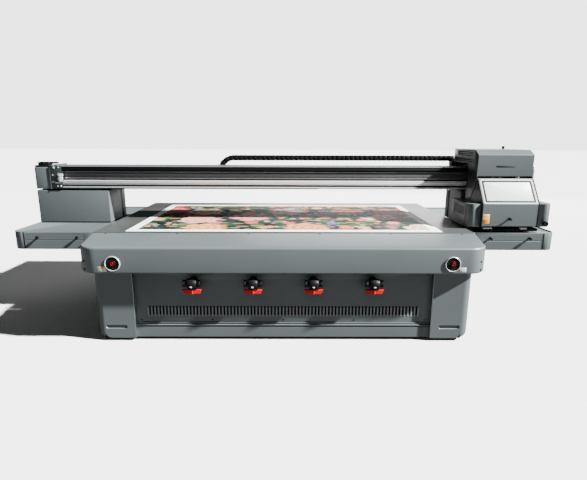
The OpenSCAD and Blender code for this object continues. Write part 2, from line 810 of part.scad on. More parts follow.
// Carriage plate: runner blocks on both beam rails behind, lift rails in front
module carriage_plate() {
    color("dimgray") {
        box(plate_x0, plate_x1, plate_y0, plate_y0 + plate_t, plate_z0, beam_z1 - 4);
        for (x = [plate_x0, plate_x1 - 90], z = [[low_rail_z0, low_rail_z1],
                [top_rail_z0, top_rail_z1]]) difference() {
            box(x, x + 90, plate_y0 + plate_t, beam_y0 - 12, z[0] - 7, z[1] + 7);
            box(x - 1, x + 91, beam_y0 - rail_proud - run_fit, beam_y0, z[0] - run_fit,
                z[1] + run_fit);
        }
        for (x = [plate_x0 + 40, plate_x1 - 40 - lift_rail_w])
            box(x, x + lift_rail_w, plate_y0 - lift_rail_d, plate_y0, plate_z0,
                beam_z1 - 4);
        // arm that carries the chain's moving end
        box(plate_x0, plate_x0 + 60, plate_y0, plate_y0 + plate_t, beam_z1 - 4,
            beam_z1 + 16);
        box(plate_x0, plate_x0 + 60, plate_y0 + plate_t, chain_y0 + chain_w, beam_z1 + 4,
            beam_z1 + 12);
    }
    color("dimgray") box(chain_end_x + gap, plate_x0 + 60, roof_y1 + 10, chain_y0 + chain_w,
        beam_z1 + 4, max(beam_z1 + 12, chain_top_z - chain_h / 2 - gap));
    color("dimgray") box(chain_end_x + gap, chain_end_x + 24, chain_y0, chain_y0 + chain_w,
        chain_top_z - chain_h / 2 - gap, chain_top_z + chain_h / 2);
}

module head_chassis() {
    color("silver") {
        difference() {
            box(hood_x0 + 12, hood_x1 - 12, head_y0 + 20, head_y1 - 12, head_z0 + 12,
                head_z0 + 24);
            for (i = [0:print_rows - 1], j = [0, 1])
                translate([print_x(i) - seat, print_y(j) - seat, head_z0 + 11])
                    cube([print_w + 2 * seat, print_l + 2 * seat, 14]);
        }
        difference() {
            box(plate_x0 + 10, plate_x1 - 10, head_y1 - 12, head_y1, head_z0 + 12,
                plate_z0 + 240);
            box(plate_x0 + 90, plate_x1 - 90, head_y1 - 13, head_y1 + 1, head_z0 + 90,
                plate_z0 + 140);
        }
        for (x = [plate_x0 + 40, plate_x1 - 40 - lift_rail_w]) difference() {
            box(x - 14, x + lift_rail_w + 14, head_y1, plate_y0 - 2, plate_z0 + 20,
                plate_z0 + 110);
            box(x - run_fit, x + lift_rail_w + run_fit, plate_y0 - lift_rail_d - run_fit,
                plate_y0, plate_z0 + 19, plate_z0 + 111);
        }
    }
}

// Print heads: bodies that hang in the chassis and show their nozzle plates below
module print_heads() {
    color("gray") for (i = [0:print_rows - 1], j = [0, 1])
        translate([print_x(i), print_y(j), 0]) {
            box(0, print_w, 0, print_l, head_z0 + 2, head_z0 + 24);
            box(-4, print_w + 4, -4, print_l + 4, head_z0 + 24, head_z0 + 34);
            box(6, print_w - 6, 10, print_l - 10, head_z0 + 34, head_z0 + 110);
        }
}

// Lamp housing: an open-bottomed box with a round front corner, a louvred side recess and
// a lamp bar inside. Drawn on the right-hand side of the hood.
module uv_lamp() {
    x0 = hood_x1 + 3;
    x1 = x0 + lamp_w;
    r = lamp_w / 2;
    louvre_z = head_z0 + 90;
    difference() {
        translate([0, 0, head_z0]) linear_extrude(head_h)
            front_corner_rect(x0, x1, lamp_y0, head_y1, r);
        translate([0, 0, head_z0 - 1]) linear_extrude(head_h - skin + 1)
            front_corner_rect(x0 + skin, x1 - skin, lamp_y0 + skin, head_y1 - skin, r - skin);
        for (i = [0:4]) box(x1 - skin - 1, x1 + 1, lamp_y0 + 70, head_y1 - 60,
            louvre_z + i * 15, louvre_z + i * 15 + 8);
    }
    box(x0 + 20, x1 - 20, lamp_y0 + 60, head_y1 - 30, head_z0 + 4, head_z0 + 60);
    for (y = [lamp_y0 + 90, head_y1 - 80])
        box(x0 + 40, x0 + 60, y, y + 20, head_z0 + 60, head_z1 - skin);
}

module uv_lamp_right() { color("slategray") uv_lamp(); }
module uv_lamp_left() {
    color("slategray") translate([2 * head_x, 0, 0]) left() uv_lamp();
}

// Brow, roof and back of the hood, as one folded sheet between the side plates
module hood_shell() {
    t = skin;
    cy = brow_chamfer_y;
    cz = brow_chamfer_z;
    color("lightslategray") along_x(hood_x0 + skin, hood_x1 - skin) polygon([
        [brow_y, brow_z0], [brow_y, hood_z1 - cz], [brow_y + cy, hood_z1],
        [roof_y1, hood_z1], [roof_y1, roof_z0 + 20], [roof_y1 - t, roof_z0 + 20],
        [roof_y1 - t, hood_z1 - t], [brow_y + cy + t / 2, hood_z1 - t],
        [brow_y + t, hood_z1 - cz - t / 2], [brow_y + t, brow_z0]]);
}

module louvre(y0, y1, z0, z1) {
    for (z = [z0:14:z1 - 8]) rect(y0, y1, z, z + 7);
}

module hood_side() {
    difference() {
        hood_side_plate();
        hinge_line(hood_x1 - skin - 1, hood_x1 + 1, hatch_pin_r + pin_fit);
    }
}

module hood_side_plate() {
    along_x(hood_x1 - skin, hood_x1) difference() {
        polygon([[head_y0, head_z0], [head_y0, head_z1], [hatch_top_y, hatch_top_z],
            [brow_y, brow_z0], [brow_y, hood_z1 - brow_chamfer_z],
            [brow_y + brow_chamfer_y, hood_z1], [roof_y1, hood_z1], [roof_y1, roof_z0 + 20],
            [head_y1, roof_z0 + 20], [head_y1, head_z0]]);
        louvre(-140, 210, hood_z1 - 57, hood_z1 - 12);
        louvre(-140, 210, hood_z1 - 107, hood_z1 - 78);
    }
}

module hood_sides() {
    color([0.12, 0.15, 0.16]) {
        hood_side();
        translate([2 * head_x, 0, 0]) left() hood_side();
    }
}

// Frame of the hatch's sloping upper part: X across, Y up the slope, Z outwards
module on_slope() { translate([0, head_y0, head_z1]) rotate([slope, 0, 0]) children(); }

// A round bar from x0 to x1 on the hatch's hinge axis
module hinge_line(x0, x1, r) {
    on_slope() translate([x0, slope_l - hatch_pin_back, -hatch_pin_in]) rotate([0, 90, 0])
        cylinder(r = r, h = x1 - x0);
}

window_edge = 22;
window_rebate = 8;
module front_hatch() {
    color("lightslategray") difference() {
        union() {
            box(hatch_x0, hatch_x1, head_y0, head_y0 + skin, head_z0 + 3, head_z1);
            on_slope() box(hatch_x0, hatch_x1, 0, slope_l - 4, -skin, 0);
            hinge_line(hatch_x0, hatch_x1, hatch_pin_r + 2);
            hinge_line(hood_x0 + seat, hood_x1 - seat, hatch_pin_r);
        }
        on_slope() {
            box(hatch_x0 + window_edge, hatch_x1 - window_edge, window_edge,
                slope_l - window_edge, -2.5, 1);
            box(hatch_x0 + window_edge + window_rebate, hatch_x1 - window_edge - window_rebate,
                window_edge + window_rebate, slope_l - window_edge - window_rebate,
                -skin - 1, 0);
        }
        translate([hatch_knob_x, head_y0 - 1, hatch_knob_z]) rotate([-90, 0, 0])
            cylinder(r = 4.2, h = skin + 2);
    }
}

module hatch_window() {
    color([0.85, 0.92, 0.93]) on_slope()
        box(hatch_x0 + window_edge + seat, hatch_x1 - window_edge - seat,
            window_edge + seat, slope_l - window_edge - seat, -2.5, -0.3);
}

hatch_knob_x = head_x - 4;
hatch_knob_z = head_z0 + 70;
module hatch_knob() {
    color("black") translate([hatch_knob_x, head_y0, hatch_knob_z]) rotate([90, 0, 0]) {
        cylinder(r = 8, h = 12);
        translate([0, 0, 12]) cylinder(r1 = 10, r2 = 13, h = 16);
        translate([0, 0, -skin - 3]) cylinder(r = 4, h = skin + 4);
    }
}

// Two knobs: one on the roof and one on the right-hand lamp housing
module hood_knobs() {
    color("black") {
        translate([head_x + 88, 20, hood_z1]) {
            cylinder(r = 8, h = 8);
            translate([0, 0, 8]) cylinder(r = 12.5, h = 20);
        }
        translate([hood_x1 + 57, lamp_y0, head_z0 + 30]) rotate([90, 0, 0]) {
            cylinder(r = 12, h = 10);
            translate([0, 0, 10]) cylinder(r = 21, h = 24);
        }
    }
}

base_frame();
rail_beams();
y_rails();
corner_post_left();
corner_post_right();
side_panel_left();
side_panel_right();
rear_panel();
front_panel();
kick_panel();
front_bumper();
vacuum_bed();
vacuum_plenum();
printed_sheet();
vacuum_blower();
vacuum_pipes();
zone_valves();
valve_handle(0);  // valve_handle_1
valve_handle(1);  // valve_handle_2
valve_handle(2);  // valve_handle_3
valve_handle(3);  // valve_handle_4
stop_rings();
stop_button_left();
stop_button_right();
cover_screws();
levelling_feet();
control_cabinet();
power_inlet();
gantry_beam();
beam_rails();
motor_track();
gantry_legs();
end_cover_left();
end_cover_right();
leg_box_left();
leg_box_right();
side_pod_left();
side_pod_right();
runner_blocks();
chain_tray();
drag_chain_lower();
ink_tanks();
pod_door_left();
pod_door_right();
pod_knobs_left();
pod_knobs_right();
capping_tray();
drag_chain_loop();
carriage_plate();
drag_chain_upper();
head_chassis();
print_heads();
uv_lamp_left();
uv_lamp_right();
hood_shell();
hood_sides();
front_hatch();
hatch_window();
hatch_knob();
hood_knobs();
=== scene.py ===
"""Looks of the flatbed printer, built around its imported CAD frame. Metres throughout."""
import json
import math

import bmesh
import bpy
import numpy as np
from mathutils import Matrix, Vector


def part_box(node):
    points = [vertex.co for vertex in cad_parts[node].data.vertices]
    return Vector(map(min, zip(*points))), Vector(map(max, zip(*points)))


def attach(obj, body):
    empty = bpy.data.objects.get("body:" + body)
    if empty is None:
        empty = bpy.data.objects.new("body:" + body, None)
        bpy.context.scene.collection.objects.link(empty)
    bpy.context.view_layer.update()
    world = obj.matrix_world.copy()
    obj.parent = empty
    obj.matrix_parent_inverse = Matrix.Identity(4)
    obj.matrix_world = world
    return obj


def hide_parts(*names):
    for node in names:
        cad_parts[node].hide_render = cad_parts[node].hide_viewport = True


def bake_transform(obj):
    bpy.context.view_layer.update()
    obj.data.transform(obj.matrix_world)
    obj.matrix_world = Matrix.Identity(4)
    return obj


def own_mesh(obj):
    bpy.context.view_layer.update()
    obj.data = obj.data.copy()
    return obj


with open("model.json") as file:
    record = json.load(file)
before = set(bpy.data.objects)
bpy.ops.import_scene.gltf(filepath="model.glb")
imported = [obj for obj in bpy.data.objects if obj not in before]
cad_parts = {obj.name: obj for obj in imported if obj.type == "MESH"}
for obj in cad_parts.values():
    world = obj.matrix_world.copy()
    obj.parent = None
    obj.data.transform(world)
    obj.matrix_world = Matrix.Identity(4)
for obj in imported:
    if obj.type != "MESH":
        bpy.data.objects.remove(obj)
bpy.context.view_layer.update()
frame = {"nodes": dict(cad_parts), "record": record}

NODES = frame["nodes"]
SLOT_OF = {s["node"]: s["material_slot"] for s in frame["record"]["subparts"]}


# ---- Camera ----

# Focal length in mm on a 36 mm sensor, place in metres, and pitch, yaw and roll in degrees
LENS = 27.2257
EYE = (0.056, -4.004, 1.443)
TILT = (12.856, 0.298, 0.202)


def camera():
    """Eye-level wide view from the front, a little right of centre and looking down."""
    pitch, yaw, roll = (math.radians(a) for a in TILT)
    forward = Vector((math.sin(yaw) * math.cos(pitch), math.cos(yaw) * math.cos(pitch),
                      -math.sin(pitch)))
    level = Vector((math.cos(yaw), -math.sin(yaw), 0.0))
    upright = level.cross(forward)
    right = level * math.cos(roll) + upright * math.sin(roll)
    up = upright * math.cos(roll) - level * math.sin(roll)
    data = bpy.data.cameras.new("camera")
    data.sensor_width = 36.0
    data.lens = LENS
    data.clip_end = 60.0
    cam = bpy.data.objects.new("camera", data)
    turn = Matrix((right, up, -forward)).transposed()
    cam.matrix_world = Matrix.Translation(EYE) @ turn.to_4x4()
    bpy.context.collection.objects.link(cam)
    bpy.context.scene.camera = cam


camera()


# ---- Materials ----

class Shader:
    """A material under construction: nodes are added by type and wired by name."""

    def __init__(self, name, **sockets):
        self.mat = bpy.data.materials.new(name)
        self.mat.use_nodes = True
        self.tree = self.mat.node_tree
        self.bsdf = self.tree.nodes["Principled BSDF"]
        for key, value in sockets.items():
            self.bsdf.inputs[key.replace("_", " ")].default_value = value
        self.coords = self.add("ShaderNodeTexCoord").outputs["Object"]

    def add(self, kind, inputs=None, **settings):
        node = self.tree.nodes.new(kind)
        for key, value in settings.items():
            setattr(node, key, value)
        for key, value in (inputs or {}).items():
            if isinstance(value, bpy.types.NodeSocket):
                self.tree.links.new(value, node.inputs[key])
            else:
                node.inputs[key].default_value = value
        return node

    def to(self, socket, value):
        self.tree.links.new(value, self.bsdf.inputs[socket])

    def math(self, operation, a, b=0.0, c=0.0):
        return self.add("ShaderNodeMath", {0: a, 1: b, 2: c},
                        operation=operation).outputs[0]

    def mapped(self, scale):
        return self.add("ShaderNodeMapping", {"Vector": self.coords,
                        "Scale": scale}).outputs["Vector"]

    def noise(self, scale, detail=4.0, vector=None, rough=0.5):
        return self.add("ShaderNodeTexNoise", {"Vector": vector or self.coords,
                        "Scale": scale, "Detail": detail, "Roughness": rough}).outputs["Fac"]

    def ramp(self, fac, stops):
        node = self.add("ShaderNodeValToRGB", {"Fac": fac})
        ramp = node.color_ramp
        while len(ramp.elements) < len(stops):
            ramp.elements.new(0.5)
        for element, (place, colour) in zip(ramp.elements, stops):
            element.position = place
            element.color = (*colour, 1.0) if len(colour) == 3 else colour
        return node.outputs["Color"]

    def mix(self, fac, a, b):
        node = self.add("ShaderNodeMix", data_type="RGBA")
        for key, value in ((0, fac), (6, a), (7, b)):
            if isinstance(value, bpy.types.NodeSocket):
                self.tree.links.new(value, node.inputs[key])
            else:
                node.inputs[key].default_value = value if key == 0 else (*value, 1.0)
        return node.outputs[2]

    def bump(self, height, strength, distance):
        node = self.add("ShaderNodeBump", {"Height": height, "Strength": strength,
                        "Distance": distance})
        self.to("Normal", node.outputs["Normal"])

    def vary(self, colour, spread, scale):
        """Colour that drifts by +-spread of itself over patches 1 / scale across."""
        low = tuple(c * (1 - spread) for c in colour)
        high = tuple(min(1.0, c * (1 + spread)) for c in colour)
        self.to("Base Color", self.ramp(self.noise(scale, 3.0), [(0.3, low), (0.7, high)]))


def powder_coat(name, colour, rough=0.42, peel=0.12, metal=0.0):
    """Satin powder coat: faint cloudy tint, dust specks, and a fine orange-peel skin."""
    s = Shader(name, Roughness=rough, Metallic=metal)
    cloud = s.ramp(s.noise(2.3, 3.0), [(0.3, tuple(c * 0.94 for c in colour)),
                                      (0.7, tuple(c * 1.06 for c in colour))])
    speck = s.ramp(s.noise(900.0, 2.0), [(0.45, (0, 0, 0)), (0.75, (1, 1, 1))])
    s.to("Base Color", s.mix(s.math("MULTIPLY", speck, 0.10), cloud,
                             tuple(min(1.0, c * 1.9 + 0.02) for c in colour)))
    s.bump(s.noise(650.0, 3.0), peel, 0.0006)
    return s.mat


def ground_metal(name, colour, rough, streak, along, metal=1.0):
    """Machined metal: fine streaks drawn out along one axis, and slight mottling."""
    s = Shader(name, Metallic=metal)
    scale = [420.0, 420.0, 420.0]
    scale[along] = 6.0
    lines = s.noise(1.0, 6.0, s.mapped(scale), 0.7)
    s.to("Base Color", s.ramp(lines, [(0.3, tuple(c * (1 - streak) for c in colour)),
                                      (0.7, colour)]))
    s.to("Roughness", s.add("ShaderNodeMapRange", {"Value": lines, "To Min": rough * 0.8,
                            "To Max": rough * 1.25}).outputs["Result"])
    s.bump(lines, 0.08, 0.0004)
    return s.mat


def moulded(name, colour, rough, grain=0.15, gloss=0.5):
    """Moulded plastic: a fine spark-eroded grain and a very slight colour drift."""
    s = Shader(name, Roughness=rough, Specular_IOR_Level=gloss)
    s.vary(colour, 0.08, 14.0)
    s.bump(s.noise(1400.0, 2.0), grain, 0.0004)
    return s.mat


def bed_finish():
    """Hard-anodised bed: dark, glossy, with a grid of fine suction holes."""
    s = Shader("bed_finish", Roughness=0.30, Metallic=0.2)
    pitch = 1.0 / 0.02
    holes = s.add("ShaderNodeTexVoronoi", {"Vector": s.mapped((pitch, pitch, 0.0)),
                  "Scale": 1.0, "Randomness": 0.0}).outputs["Distance"]
    hole = s.math("LESS_THAN", holes, 0.075)
    tint = s.ramp(s.noise(3.0), [(0.3, (0.040, 0.045, 0.043)), (0.7, (0.058, 0.064, 0.060))])
    s.to("Base Color", s.mix(hole, tint, (0.004, 0.004, 0.004)))
    s.bump(s.math("SUBTRACT", 1.0, hole), 0.5, 0.0008)
    return s.mat


def pale_pane():
    """Pale opaque pane: softly glossy, with a slight cloudy tint."""
    s = Shader("pale_pane", Roughness=0.22, Coat_Weight=0.3, Coat_Roughness=0.25)
    s.to("Base Color", s.ramp(s.noise(3.0, 2.0), [(0.35, (0.80, 0.87, 0.88)),
                                                 (0.65, (0.92, 0.94, 0.94))]))
    return s.mat


LOOKS = {
    "grey_paint": powder_coat("grey_paint", (0.078, 0.092, 0.094), metal=0.1),
    "cover_paint": powder_coat("cover_paint", (0.086, 0.101, 0.104), metal=0.1),
    # Lighter paint for the louvre bars: a painted highlight standing in for light the bars catch
    "vent_bar_highlight": powder_coat("vent_bar_highlight", (0.22, 0.235, 0.235), 0.4),
    "dark_paint": powder_coat("dark_paint", (0.014, 0.020, 0.021), 0.38),
    "frame_steel": powder_coat("frame_primer", (0.03, 0.034, 0.036), 0.55, 0.3),
    "polished_steel": ground_metal("polished_rail", (0.90, 0.90, 0.90), 0.34, 0.12, 0, 0.25),
    "aluminium": ground_metal("milled_aluminium", (0.5, 0.51, 0.52), 0.34, 0.2, 0),
    "chrome": ground_metal("chrome_ring", (0.70, 0.71, 0.72), 0.24, 0.05, 2, 0.5),
    "bed_plate": bed_finish(),
    "red_plastic": moulded("signal_red", (0.50, 0.0008, 0.002), 0.45, 0.1, 0.25),
    # The stop button's red in two copies: a darkened one on the cap as painted shade, and a
    # brighter one on the raised ring as painted highlight
    "red_cap_shaded": moulded("red_cap_shaded", (0.05, 0.0008, 0.0015), 0.45, 0.05, 0.1),
    "red_ring_highlight": moulded("red_ring_highlight", (0.26, 0.002, 0.006), 0.4, 0.05, 0.2),
    "black_plastic": moulded("black_moulding", (0.0035, 0.0035, 0.004), 0.5, 0.15, 0.15),
    "white_plastic": moulded("tank_plastic", (0.72, 0.73, 0.70), 0.4),
    "hatch_glass": pale_pane(),
    "hatch_trim": powder_coat("pale_trim", (0.55, 0.57, 0.57), 0.35),
    "sticker_face": powder_coat("sticker_face", (0.75, 0.42, 0.07), 0.3, 0.02),
    "sticker_orange": powder_coat("sticker_orange", (0.70, 0.13, 0.02), 0.3, 0.02),
}


# ---- Shapes: each is (vertices, faces), worked out as whole arrays ----

def grid(points, close_u=False, close_v=False):
    """Quads over points[u, v]; either direction may close on itself."""
    nu, nv = points.shape[:2]
    u = np.arange(nu if close_u else nu - 1)
    v = np.arange(nv if close_v else nv - 1)
    a, b = (m.ravel() for m in np.meshgrid(u, v, indexing="ij"))
    c, d = (a + 1) % nu, (b + 1) % nv
    quads = np.stack([a * nv + b, a * nv + d, c * nv + d, c * nv + b], axis=1)
    return points.reshape(-1, 3), quads.tolist()


def capped(rings):
    """Closed tube through equal rings of points, with a flat face over each end."""
    verts, faces = grid(np.array(rings), close_v=True)
    n = len(rings[0])
    last = len(verts) - n
    return verts, faces + [list(range(n))[::-1], [last + i for i in range(n)]]


def level(outline, z):
    """Outline as a ring of points at height z."""
    return np.column_stack([outline, np.full(len(outline), z)])


def together(*shapes):
    """Several shapes as one, with their face numbers shifted."""
    verts, faces, start = [], [], 0
    for v, f in shapes:
        verts.append(v)
        faces += [[i + start for i in face] for face in f]
        start += len(v)
    return np.vstack(verts), faces


def placed(shape, turn=None, at=(0, 0, 0), scale=(1, 1, 1)):
    """shape @ turn, scaled and moved; a mirroring turn has its faces reversed."""
    verts, faces = shape
    matrix = np.diag(scale) @ np.array(turn if turn is not None else np.eye(3), float)
    if np.linalg.det(matrix) < 0:
        faces = [face[::-1] for face in faces]
    return verts @ matrix + np.array(at, float), faces


def mirrored(shape):
    """The left-hand twin of a right-hand shape."""
    return placed(shape, scale=(-1, 1, 1))


# Each side's name, with what makes its shape from the right-hand one
TWINS = (("left", mirrored), ("right", lambda shape: shape))

# Rows are where a shape's own x, y and z go: z forward is out of a front face
FACE_FRONT = ((1, 0, 0), (0, 0, 1), (0, -1, 0))
ALONG_X = ((0, 1, 0), (0, 0, 1), (1, 0, 0))


def round_outline(x0, x1, y0, y1, radii, steps=10):
    """Anticlockwise rectangle outline with a quarter circle of its own radius at each
    corner, (x0, y0) first: centre + r (cos a, sin a), a over 90 degrees."""
    corners = ((x0, y0, 180), (x1, y0, 270), (x1, y1, 0), (x0, y1, 90))
    rows = []
    for (x, y, start), r in zip(corners, radii):
        centre = (x + r if x == x0 else x - r, y + r if y == y0 else y - r)
        a = np.radians(np.linspace(start, start + 90, steps if r > 0 else 1))
        rows.append(np.stack([centre[0] + r * np.cos(a), centre[1] + r * np.sin(a)], 1))
    return np.vstack(rows)


def inset(outline, distance):
    """Outline moved inwards along the mean normal of its two edges at each point."""
    ahead = np.roll(outline, -1, 0) - outline
    ahead /= np.linalg.norm(ahead, axis=1, keepdims=True)
    behind = np.roll(ahead, 1, 0)
    n1 = np.stack([ahead[:, 1], -ahead[:, 0]], 1)
    n0 = np.stack([behind[:, 1], -behind[:, 0]], 1)
    mean = n0 + n1
    mean /= np.maximum(1e-9, (mean * n1).sum(1, keepdims=True))
    return outline - mean * distance


def slab(outline, z0, z1, fillet_low=0.0, fillet_high=0.0, steps=5):
    """Plate over an outline. Its edge is a wall with a quarter-round at each end:
    inset r (1 - cos a), height r (1 - sin a) from the face; both faces are capped."""
    profile = []
    for r, z, sign in ((fillet_low, z0, 1), (fillet_high, z1, -1)):
        a = np.linspace(0, np.pi / 2, steps if r > 0 else 1)
        arc = [(r * (1 - math.sin(t)), z + sign * r * (1 - math.cos(t))) for t in a] \
            if r > 0 else [(0.0, z)]
        profile += arc if sign > 0 else arc[::-1]
    return capped([level(inset(outline, d), z) for d, z in profile])


def block(x0, x1, y0, y1, z0, z1, fillet=0.001, corner=0.0, steps=3):
    """Box with rounded top and bottom edges and, if asked, rounded upright corners."""
    r = corner or fillet
    return slab(round_outline(x0, x1, y0, y1, (r,) * 4, max(3, steps)), z0, z1,
                fillet, fillet, steps)


def lathe(profile, sides=40, at=(0, 0, 0), turn=None):
    """Profile of (radius, height) turned about z: (r cos a, r sin a, z)."""
    p = np.array(profile, float)
    a = np.linspace(0, 2 * np.pi, sides, endpoint=False)
    points = np.stack([p[:, :1] * np.cos(a), p[:, :1] * np.sin(a),
                       np.repeat(p[:, 1:], sides, 1)], axis=2)
    return placed(capped(points), turn, at)


def bead(outline, z, radius, sides=8):
    """Round bead that follows a closed outline at height z."""
    a = np.linspace(0, 2 * np.pi, sides, endpoint=False)
    rings = [level(inset(outline, -radius * math.cos(t)), z + radius * math.sin(t))
             for t in a]
    return grid(np.array(rings), close_u=True, close_v=True)


def sheet_profile(path, thickness, x0, x1):
    """Folded sheet: a (y, z) path given a thickness and carried along x."""
    path = np.array(path, float)
    run = np.gradient(path, axis=0)
    run /= np.linalg.norm(run, axis=1, keepdims=True)
    normal = np.stack([-run[:, 1], run[:, 0]], 1)
    loop = np.vstack([path, (path - normal * thickness)[::-1]])
    ends = [np.column_stack([np.full(len(loop), x), loop]) for x in (x0, x1)]
    verts, faces = grid(np.array(ends), close_v=True)
    n = len(loop)
    strip = [[i, i + 1, n - 2 - i, n - 1 - i] for i in range(len(path) - 1)]
    faces += strip + [[n + i for i in face][::-1] for face in strip]
    return verts, faces


def rounded_path(points, radius, steps=6):
    """Open path whose inner corners are cut to quadratic curves radius long each way."""
    points = np.array(points, float)
    rows = [points[:1]]
    for a, b, c in zip(points[:-2], points[1:-1], points[2:]):
        start = b + (a - b) / np.linalg.norm(a - b) * radius
        end = b + (c - b) / np.linalg.norm(c - b) * radius
        t = np.linspace(0, 1, steps)[:, None]
        rows.append((1 - t) ** 2 * start + 2 * t * (1 - t) * b + t ** 2 * end)
    return np.vstack(rows + [points[-1:]])


# ---- Pieces ----

def piece(name, shape, look, body, stands_for=(), blend=None):
    """A finished object: its mesh, material, body, and the CAD nodes it replaces."""
    verts, faces = shape
    mesh = bpy.data.meshes.new(name)
    mesh.from_pydata(np.asarray(verts).tolist(), [], faces)
    mesh.validate()
    bm = bmesh.new()
    bm.from_mesh(mesh)
    bmesh.ops.recalc_face_normals(bm, faces=bm.faces)
    bm.to_mesh(mesh)
    bm.free()
    return dressed(bpy.data.objects.new(name, mesh), look, body, stands_for,
                   blend=blend)


def dressed(obj, look, body, stands_for=(), bevel=0.0, blend=None):
    """Gives an object its look and shading, and hides the CAD nodes it stands for: it rides on
    one body, or, given a blend, has its transform baked in and rides on no body; the blend's
    bodies and points are not used."""
    bpy.context.collection.objects.link(obj)
    obj.data.materials.clear()
    obj.data.materials.append(LOOKS[look])
    obj.data.polygons.foreach_set("use_smooth", np.ones(len(obj.data.polygons), bool))
    if bevel:
        mod = obj.modifiers.new("edge", "BEVEL")
        mod.width = bevel
        mod.segments = 2
        mod.limit_method = "ANGLE"
        mod.angle_limit = math.radians(35)
        mod.harden_normals = True
    else:
        sharpen(obj.data)
    if blend:
        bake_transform(obj)
    else:
        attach(obj, body)
    for node in stands_for:
        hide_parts(node)
    return obj


def sharpen(mesh, angle=35):
    """Marks every edge that folds more sharply than the angle, so faces shade true."""
    bm = bmesh.new()
    bm.from_mesh(mesh)
    for edge in bm.edges:
        if len(edge.link_faces) == 2:
            edge.smooth = edge.calc_face_angle() < math.radians(angle)
    bm.to_mesh(mesh)
    bm.free()


def softened(node, bevel):
    """A merged copy of a CAD node with its sharp edges broken; it replaces the node."""
    mesh = bpy.data.meshes.new(node + "_panel")
    bm = bmesh.new()
    bm.from_mesh(NODES[node].data)
    bmesh.ops.remove_doubles(bm, verts=bm.verts, dist=1e-5)
    bm.to_mesh(mesh)
    bm.free()
    body = next(b for b, nodes in frame["record"]["behaviour"]["bodies"].items()
                if node in nodes)
    obj = bpy.data.objects.new(mesh.name, mesh)
    return dressed(obj, SLOT_OF[node], body, (node,), bevel=bevel)


# ---- Places, all read from the frame ----

def ends(node):
    """The six faces of a node's box: x0, x1, y0, y1, z0, z1."""
    low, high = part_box(node)
    return low[0], high[0], low[1], high[1], low[2], high[2]


BED = ends("vacuum_bed")
SHEET = ends("printed_sheet")
BUMPER = ends("front_bumper")
BEAM = ends("gantry_beam")
POD = ends("side_pod_right")
DOOR = ends("pod_door_right")
LEG = ends("leg_box_right")
COVER = ends("end_cover_right")
POST = ends("corner_post_right")
SIDES = ends("hood_sides")
SHELL = ends("hood_shell")
LAMP = ends("uv_lamp_right")
HATCH = ends("front_hatch")
SKIN = 0.004


# ---- Base ----

# How far the front cover's sides lean in, and the radius of its front corners
COVER_LEAN = 0.080
COVER_R = 0.150


def bumper_outline():
    """Plan of the front cover: sides that lean in, then round corners to a flat front."""
    x1, y0, y1 = BUMPER[1:4]
    lean, r = COVER_LEAN, COVER_R
    a = np.radians(np.linspace(0, 80, 16))
    corner = np.stack([x1 - lean - r + r * np.cos(a), y0 + r - r * np.sin(a)], 1)
    right = np.vstack([[(x1, y1)], corner, [(x1 - lean - r, y0)]])
    left = right[::-1] * (-1, 1)
    return np.vstack([right, left])[::-1]


def front_cover():
    """Hollow front cover as one rounded shell."""
    piece("front_cover", slab(bumper_outline(), BUMPER[4], BUMPER[5], 0.010, 0.016, 7),
          "cover_paint", "base", ("front_bumper",))


def stop_switches():
    """Emergency stops: a turned chrome shroud, a black dish and a mushroom button."""
    rings = ends("stop_rings")
    r = (rings[5] - rings[4]) / 2
    for side in ("left", "right"):
        button = ends("stop_button_" + side)
        cx = (button[0] + button[1]) / 2
        cz = (button[4] + button[5]) / 2
        place = dict(at=(cx, BUMPER[2], cz), turn=FACE_FRONT)
        shroud = lathe([(r, 0.0), (r, 0.005), (r - 0.0015, 0.0070), (r - 0.003, 0.0075),
                        (r - 0.0045, 0.0065), (r - 0.0055, 0.002), (r - 0.006, 0.0)],
                       64, **place)
        piece("stop_shroud_" + side, shroud, "chrome", "base",
              stands_for=("stop_rings",) if side == "left" else ())
        dish = lathe([(r - 0.0055, 0.0), (r - 0.0055, 0.0025), (0.024, 0.0015),
                      (0.022, 0.004), (0.0195, 0.004), (0.019, 0.0015), (0.009, 0.0015),
                      (0.009, 0.0)], 48, **place)
        piece("stop_dish_" + side, dish, "black_plastic", "base")
        # Cap in the darkened red (painted shade); ring in the brighter red (painted highlight)
        cap = lathe([(0.008, -0.006), (0.008, 0.008), (0.016, 0.008), (0.0178, 0.0095),
                     (0.0175, 0.0110), (0.015, 0.0126), (0.008, 0.0130), (0.0065, 0.0122),
                     (0.001, 0.0120)], 40, **place)
        piece("stop_button_cap_" + side, cap, "red_cap_shaded", side + "_button",
              ("stop_button_" + side,))
        ring = lathe([(0.0055, 0.0115), (0.0060, 0.0134), (0.0075, 0.0138), (0.0095, 0.0137),
                      (0.0100, 0.0128), (0.0100, 0.0115)], 40, **place)
        piece("stop_button_ring_" + side, ring, "red_ring_highlight", side + "_button")


def screw_head(x, y, z, turn=None, r=0.007, h=0.0026):
    """Button head with a hexagon socket sunk into it."""
    head = lathe([(r, -0.001), (r, 0.0006), (r * 0.8, h * 0.85), (r * 0.5, h),
                  (r * 0.34, h), (r * 0.32, h * 0.35), (r * 0.1, h * 0.3)], 18)
    return placed(head, turn, (x, y, z))


